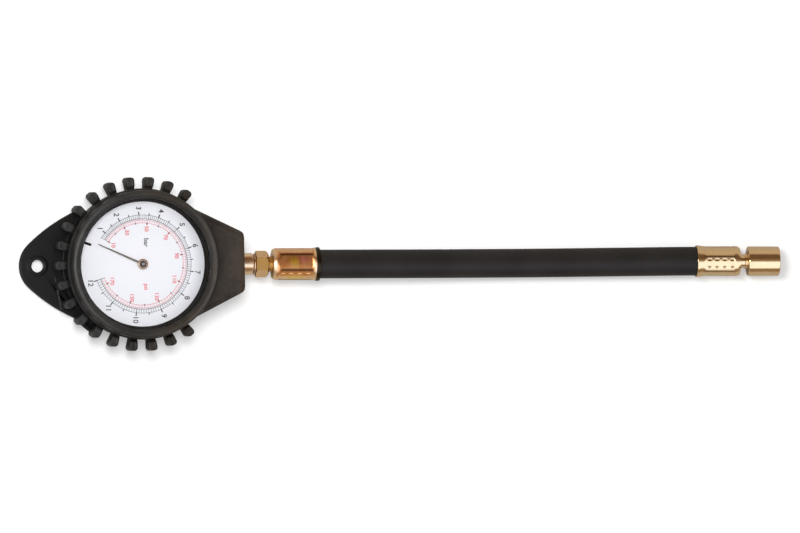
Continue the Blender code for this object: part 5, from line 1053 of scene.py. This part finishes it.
def make_neck():
    """The neck: rounded sections from the cup's wall to the end face, which runs in to the stem's hole.

    A section's point is (share of the half width, height). Towards the end face both are drawn in
    by a quarter round, whose radius is larger seen from above than seen from the side.
    """
    half_mean, bevel, shoulder = 22.0, 2.1, NECK_TOP - 1.5
    loop, _ = evenly(rounded_path((
        (-half_mean, 0.0, 1.4), (half_mean, 0.0, 1.4), (half_mean, shoulder, 0.7),
        (half_mean - bevel, NECK_TOP, 0.6), (bevel - half_mean, NECK_TOP, 0.6), (-half_mean, shoulder, 0.7),
    ), closed=True, steps=7), 420)
    out = outline_normals(loop)
    overhang = half_mean - np.abs(loop[:, 0])
    side = np.sign(loop[:, 0])
    groove = 0.5 * hump(overhang, bevel + 0.6, 0.45) * (loop[:, 1] > NECK_TOP / 2)
    root_inset, edge_band = 0.33, 3.6
    root_half = math.sqrt((BOOT_RADIUS - root_inset) ** 2 - NECK_ROOT_X ** 2)
    slope = (root_half - NECK_END_HALF) / (NECK_END_X - NECK_ROOT_X)
    plan_round, edge_round = 2.0, 1.3
    corner_round = np.hypot(plan_round * out[:, 0], edge_round * out[:, 1])

    def across(half):
        """Points near an edge keep their distance from it, and the rest keep their share of the width."""
        return side * np.where(overhang < edge_band, half - overhang, half * (1.0 - overhang / half_mean))

    def section_at(share, draw, end_x):
        """The section at a share of the way out to the end face, drawn in by an amount."""
        start_y = across(root_half)
        stop_y = across(NECK_END_HALF + slope * (NECK_END_X - end_x))
        start_x = np.sqrt(np.maximum(WALL_MIDDLE ** 2 - start_y ** 2, NECK_START ** 2))
        x = start_x + (end_x - start_x) * share
        y = start_y + (stop_y - start_y) * share
        sunk = loop[:, 1] - groove * (1.0 - smooth_step(share, 0.9, 0.98))
        return np.column_stack((x, y - out[:, 0] * draw, sunk - out[:, 1] * draw))

    rings = [section_at(share, 0.0, NECK_END_X - corner_round) for share in np.linspace(0.0, 1.0, 40)]
    for a in quarter_turn(8)[1:]:
        end_x = NECK_END_X - corner_round * (1 - math.sin(a))
        rings.append(section_at(1.0, corner_round * (1 - math.cos(a)), end_x))
    flat = rings[-1]
    seen = np.arctan2(flat[:, 1], flat[:, 2] - STEM_Z)
    ring = around_hose(np.full(len(seen), NECK_END_X), STEM_RADIUS + 0.3, seen, NEAR_AXIS)
    rings += [flat + (ring - flat) * share for share in (0.03, 0.35, 0.7, 0.93, 1.0)]
    rings += [ring + (x - NECK_END_X, 0.0, 0.0) for x in (56.4, 46.0)]
    grid = np.array(rings)
    from_wall = np.hypot(grid[..., 0], grid[..., 1]) - BOOT_RADIUS
    on_top = smooth_step(grid[..., 2], NECK_TOP - 2.5, NECK_TOP - 0.2)
    grid[..., 2] += 1.6 * (1.0 - smooth_step(from_wall, 0.0, 2.2)) * on_top
    neck = surface("boot_neck", turned_by(grid, BOOT_TURN), loop_rows=True)
    dress(neck, RUBBER, replaces=("rubber_boot",))


make_boot_cup()
make_ribs()
make_tab()
make_neck()


# Bezel, spacer, dial and pointer


def make_bezel():
    """The black ring that holds the window: a soft crown that slopes in to the opening."""
    corners = (
        (37.4, 29.8), (37.4, 31.3), (BEZEL_OPENING, 31.3, 0.1), (BEZEL_OPENING, 31.75, 0.25),
        (37.25, BEZEL_TOP, 0.25), (37.9, 32.0), (CASE_RADIUS, 31.3), (CASE_RADIUS, 29.8),
    )
    turned_piece("bezel_crown", corners, None, 288, BEZEL_BLACK, replaces=("bezel_ring",))


def make_spacer():
    """The black wall round the dial, drafted, with a fine step at its foot."""
    corners = (
        (SPACER_RADIUS, SPACER_BOTTOM), (SPACER_RADIUS + 0.05, SPACER_BOTTOM + 0.5, 0.1),
        (SPACER_RADIUS + 1.3, SPACER_TOP, 0.2), (DIAL_RADIUS, SPACER_TOP), (DIAL_RADIUS, SPACER_BOTTOM),
    )
    turned_piece("spacer_wall", corners, None, 288, SPACER_BLACK, replaces=("spacer_ring",))


def bar_angle(bar):
    """The angle on the dial of a pressure in bar: straight lines between the whole bars."""
    degrees = np.interp(bar, np.arange(1, 13), BAR_DEGREES)
    below = BAR_DEGREES[0] + (1.0 - bar) * (BAR_DEGREES[0] - BAR_DEGREES[1])
    return np.radians(np.where(bar < 1.0, below, degrees))


def ring_strip(radius, width, first, last, count=240):
    """A printed line along an arc: two rows of points either side of its radius."""
    angle = np.linspace(first, last, count)
    radii = np.array((radius - width / 2, radius + width / 2))[:, None]
    grid = np.stack(np.broadcast_arrays(radii * np.cos(angle), radii * np.sin(angle), PRINT_Z), axis=-1)
    return grid.reshape(-1, 3), grid_faces(2, count, False, False)


def tick_marks(angles, inner, outer, width):
    """Printed strokes: at each angle a rectangle from one radius to another."""
    angles = np.asarray(angles)[:, None]
    radial = np.array((inner, outer, outer, inner))
    across = np.array((-0.5, -0.5, 0.5, 0.5)) * width
    x = radial * np.cos(angles) - across * np.sin(angles)
    y = radial * np.sin(angles) + across * np.cos(angles)
    points = np.stack((x, y, np.full_like(x, PRINT_Z)), axis=-1).reshape(-1, 3)
    return points, np.arange(len(points)).reshape(-1, 4)


def lettering(words):
    """Printed words, each (text, x, y, height), read with the dial's top towards the hose."""
    places, faces, count = [], [], 0
    for text, x, y, size in words:
        curve = bpy.data.curves.new("lettering", "FONT")
        curve.body = text
        curve.align_x = "CENTER"
        curve.align_y = "CENTER"
        curve.size = size * TYPE_SIZE * MM
        curve.offset = size * TYPE_BOLDNESS * MM
        curve.resolution_u = 4
        thing = in_scene("lettering", curve)
        bpy.context.view_layer.update()
        graph = bpy.context.evaluated_depsgraph_get()
        mesh = bpy.data.meshes.new_from_object(thing.evaluated_get(graph))
        flat = points_of(mesh)
        places.append(np.column_stack((x + flat[:, 1], y - flat[:, 0], np.full(len(flat), PRINT_Z))))
        faces += [[vertex + count for vertex in face.vertices] for face in mesh.polygons]
        count += len(flat)
        bpy.data.objects.remove(thing, do_unlink=True)
        bpy.data.curves.remove(curve)
        bpy.data.meshes.remove(mesh)
    return np.concatenate(places), faces


def printed(name, parts, material):
    """One thin layer of print from sets of (points, faces)."""
    places, faces, count = [], [], 0
    for points, part_faces in parts:
        places.append(points)
        faces += [[int(vertex) + count for vertex in face] for face in part_faces]
        count += len(points)
    mesh = bpy.data.meshes.new(name)
    mesh.from_pydata(np.concatenate(places) * MM, [], faces)
    shape = bmesh.new()
    shape.from_mesh(mesh)
    bmesh.ops.reverse_faces(shape, faces=[face for face in shape.faces if face.normal.z < 0.0])
    shape.to_mesh(mesh)
    shape.free()
    return dress(in_scene(name, mesh), material)


def numbers_round(values, angles, radius, size):
    """Words for numbers that stand at their angles round the dial."""
    return [(str(int(value)), radius * math.cos(a), radius * math.sin(a), size)
            for value, a in zip(values, angles)]


def make_dial_print():
    """The black scale in bar, the red scale in psi, and their numbers."""
    first, last = (float(bar_angle(np.array(bar))) for bar in (PSI_STEP / PSI_PER_BAR, 12.0))
    whole = np.arange(1, 13).astype(float)
    tens = np.arange(PSI_STEP, 175, PSI_STEP)
    bars, halves, tenths = (bar_angle(bar) for bar in (whole, whole[:-1] + 0.5, np.arange(8, 121) / 10.0))
    ten_psi, two_psi = (bar_angle(psi / PSI_PER_BAR) for psi in (tens, np.arange(PSI_STEP, 174, 2)))
    low, high = BAR_RADII
    printed("dial_print_black", [
        ring_strip(low, 0.3, first, last),
        ring_strip(high, 0.2, first, last),
        tick_marks(tenths, low, high, 0.2),
        tick_marks(halves, low, high + 0.4, 0.2),
        tick_marks(halves, high - 0.2, 28.7, 0.5),
        tick_marks(bars, low, 29.0, 0.34),
        tick_marks(bars, high - 0.2, 29.3, 0.62),
        tick_marks(ten_psi, 22.4, 23.3, 0.6),
        tick_marks([first], 22.9, 28.0, 0.26),
        tick_marks([last], 22.9, 29.0, 0.3),
        lettering(numbers_round(whole, bars, 31.4, 3.0) + [("bar", 1.9, 12.1, 2.7)]),
    ], BLACK_INK)
    low, high = PSI_RADII
    printed("dial_print_red", [
        ring_strip(high, 0.2, first, last),
        ring_strip(low, 0.22, first, last),
        tick_marks(two_psi, low, high, 0.15),
        tick_marks(ten_psi, low - 0.1, high, 0.22),
        tick_marks(ten_psi[::2], low - 1.1, low, 0.7),
        lettering(numbers_round(tens[::2], ten_psi[::2], 19.8, 2.3) + [("psi", 1.9, -12.8, 2.3)]),
    ], RED_INK)


def make_pointer():
    """The pointer's blade: half width = straight taper to a rounded tip, with a folded middle line.

    The boss is a turned cap with a bright rim.
    """
    share = np.concatenate((np.linspace(0.0, 0.97, 60), (0.985, 0.995, 1.0)))
    half = 0.62 + (0.24 - 0.62) * share
    half = half * np.sqrt(np.clip(1.0 - smooth_step(share, 0.97, 1.0) ** 2, 0.0, 1.0))
    along = 1.6 + (POINTER_LENGTH - 1.6) * share
    across = np.array((-1.0, -0.55, 0.0, 0.55, 1.0, 0.55, 0.0, -0.55))
    lift = np.array((0.12, 0.34, 0.5, 0.34, 0.12, 0.0, 0.0, 0.0))
    z = POINTER_Z + lift * np.where(half[:, None] > 0, 1.0, 0.4)
    grid = np.stack(np.broadcast_arrays(along[:, None], half[:, None] * across, z), axis=-1)
    root = np.broadcast_to(grid[:1].mean(axis=1, keepdims=True), (1, 8, 3))
    blade = surface("pointer_blade", turned_by(np.concatenate((root, grid)), POINTER_ANGLE))
    dress(blade, POINTER_BROWN, "pointer", ("pointer",))
    low, top = 22.8, 24.0
    boss = ((1.7, low), (2.9, low, 0.1), (2.9, top - 0.2, 0.3), (2.45, top, 0.15), (1.85, top, 0.1),
            (1.7, top - 0.15, 0.1))
    core = ((0.93, low), (1.72, low), (1.72, top - 0.3, 0.1), (1.2, top - 0.42, 0.1), (0.93, top - 0.42))
    turned_piece("pointer_boss", boss, None, 96, HUB_COPPER, "pointer", ("pointer",))
    turned_piece("pointer_hub", core, None, 72, HUB_BLACK, "pointer", ("pointer",))


make_bezel()
make_spacer()
make_dial_print()
make_pointer()


# Stem, washer and coupling


def make_stem_sleeve():
    """The stem's visible stub: a shallow turned groove, a broken edge and two brown bands of painted
    reflection.
    """
    top = STEM_RADIUS + 0.06
    sleeve = turned_piece("stem_skin", (
        (55.8, 6.02), (55.9, top, 0.05), (59.0, top, 0.1), (59.4, top - 0.03, 0.1), (59.8, top, 0.1),
        (62.6, top, 0.1), (63.2, top, 0.3), (63.85, 5.4, 0.2), (63.86, 4.6), (63.82, 4.6), (63.81, 5.3),
        (63.1, 6.01),
    ), NEAR_AXIS, 144, STEM_BRASS)
    places = points_of(sleeve.data)
    turn = turn_about(places, NEAR_AXIS)
    # Painted reflection: two brown bands along the stub's upper and lower sides, short of its end.
    bands = np.maximum(0.85 * hump(turn, 31.0, 14.0), hump(turn, -28.0, 11.0))
    add_number(sleeve, "painted_shade", bands * (1.0 - smooth_step(places[:, 0], 62.8, 63.4)))


def make_washer():
    """The soft washer, squeezed to a slight barrel."""
    corners = ((64.1, 4.6), (64.1, 5.8, 0.25), (64.9, 5.8, 0.25), (64.9, 4.6))
    turned_piece("soft_washer", corners, NEAR_AXIS, 144, COPPER, replaces=("seal_washer",))


def make_coupling():
    """The coupling: radius = the lesser of the hexagon's face distance and the two chamfer cones.

    The hexagon's radius at an angle is its half width over the cosine of the angle from the
    nearest face's middle, with its corners taken down a little. The neck, the tail and the thread
    are turned.
    """
    angle = np.arange(360) * TURN / 360
    hexagon = np.minimum(HEX_HALF / np.cos(from_land(angle, 0.0)), HEX_CORNER)
    shares = np.linspace(0.0, 1.0, 15)
    swing = quarter_turn(15)
    back, front = 0.35, 2.4
    foot_back, foot_front, cone_top = HEX_HALF + 0.1, HEX_HALF - 1.0, 7.6
    cone_back = foot_back + (cone_top - foot_back) * np.sin(swing)
    cone_front = foot_front + (cone_top - foot_front) * np.cos(swing) ** 0.6
    hex_x = np.concatenate((back * shares, (2.0, 3.4), HEX_LENGTH - front + front * shares))
    cone = np.concatenate((cone_back, (9.0, 9.0), cone_front))
    hex_radius = np.minimum(hexagon[None, :], cone[:, None])
    thread, neck, tail_x = 4.3, NEAR_NECK_RADIUS, HEX_LENGTH + 4.3
    lead = np.array(((-9.5, 1.5), (-9.5, thread), (-1.4, thread), (0.0, thread)))
    tail = rounded_path((
        (HEX_LENGTH, 5.0, 0.2), (HEX_LENGTH + 0.1, neck, 0.1), (tail_x, neck), (tail_x, 6.4),
        (tail_x + 2.0, 6.4), (tail_x + 2.0, 3.2), (tail_x + 5.0, 3.2), (tail_x + 5.0, 1.5),
    ))
    x = np.concatenate((lead[:, 0], hex_x, tail[:, 0]))
    radius = np.concatenate((lead[:, 1:] + 0.0 * angle, hex_radius, tail[:, 1:] + 0.0 * angle))
    grid = around_hose(HEX_X + x[:, None], radius, angle, NEAR_AXIS)
    coupling = surface("hexagon_coupling", grid, loop_rows=True, sharp=25.0)
    places = points_of(coupling.data)
    # Painted shade: the upward face and every second face, and the hexagon's far end with the neck beyond,
    # darker brown.
    turn = turn_about(places, NEAR_AXIS) % 120.0
    flat = (np.minimum(turn, 120.0 - turn) < 29.9).astype(float)
    add_number(coupling, "painted_shade", np.maximum(flat, smooth_step(places[:, 0], HEX_X + 6.0, HEX_X + 6.8)))
    dress(coupling, MILLED_BRASS, replaces=("hose_coupling",))


make_stem_sleeve()
make_washer()
make_coupling()


# Works


def make_sprung_tube():
    """The Bourdon tube: a copy of the node's mesh in bronze, set in place, with the node hidden.
    """
    node = NODES["bourdon_tube"]
    tube = in_scene("bourdon_tube_sprung", node.data.copy())
    tube.matrix_world = node.matrix_world.copy()
    tube.data.materials.clear()
    tube.data.materials.append(TUBE_BRONZE)
    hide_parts("bourdon_tube")
    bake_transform(tube)


make_sprung_tube()


# Finishes of the nodes that keep their own shape

CARRIED = {
    "case_black": CASE_BLACK, "bezel_black": BEZEL_BLACK, "window_clear": WINDOW_CLEAR,
    "dial_white": DIAL_WHITE, "pointer_brown": POINTER_BROWN, "movement_brass": WORKS_BRASS,
    "tube_bronze": TUBE_BRONZE, "steel": STEEL, "brass": BRASS, "seal_rubber": SEAL_RUBBER,
    "boot_rubber": RUBBER, "hose_rubber": SEAL_RUBBER, "passivated": BRASS, "seal_copper": COPPER,
}
SLOTS = {row["node"]: row["material_slot"] for row in frame["record"]["subparts"]}
for name, thing in NODES.items():
    material = CARRIED[SLOTS[name]]
    if not thing.material_slots:
        thing.data.materials.append(material)
    for slot in thing.material_slots:
        slot.material = material

bpy.context.scene.view_settings.view_transform = "Standard"
bpy.context.view_layer.update()
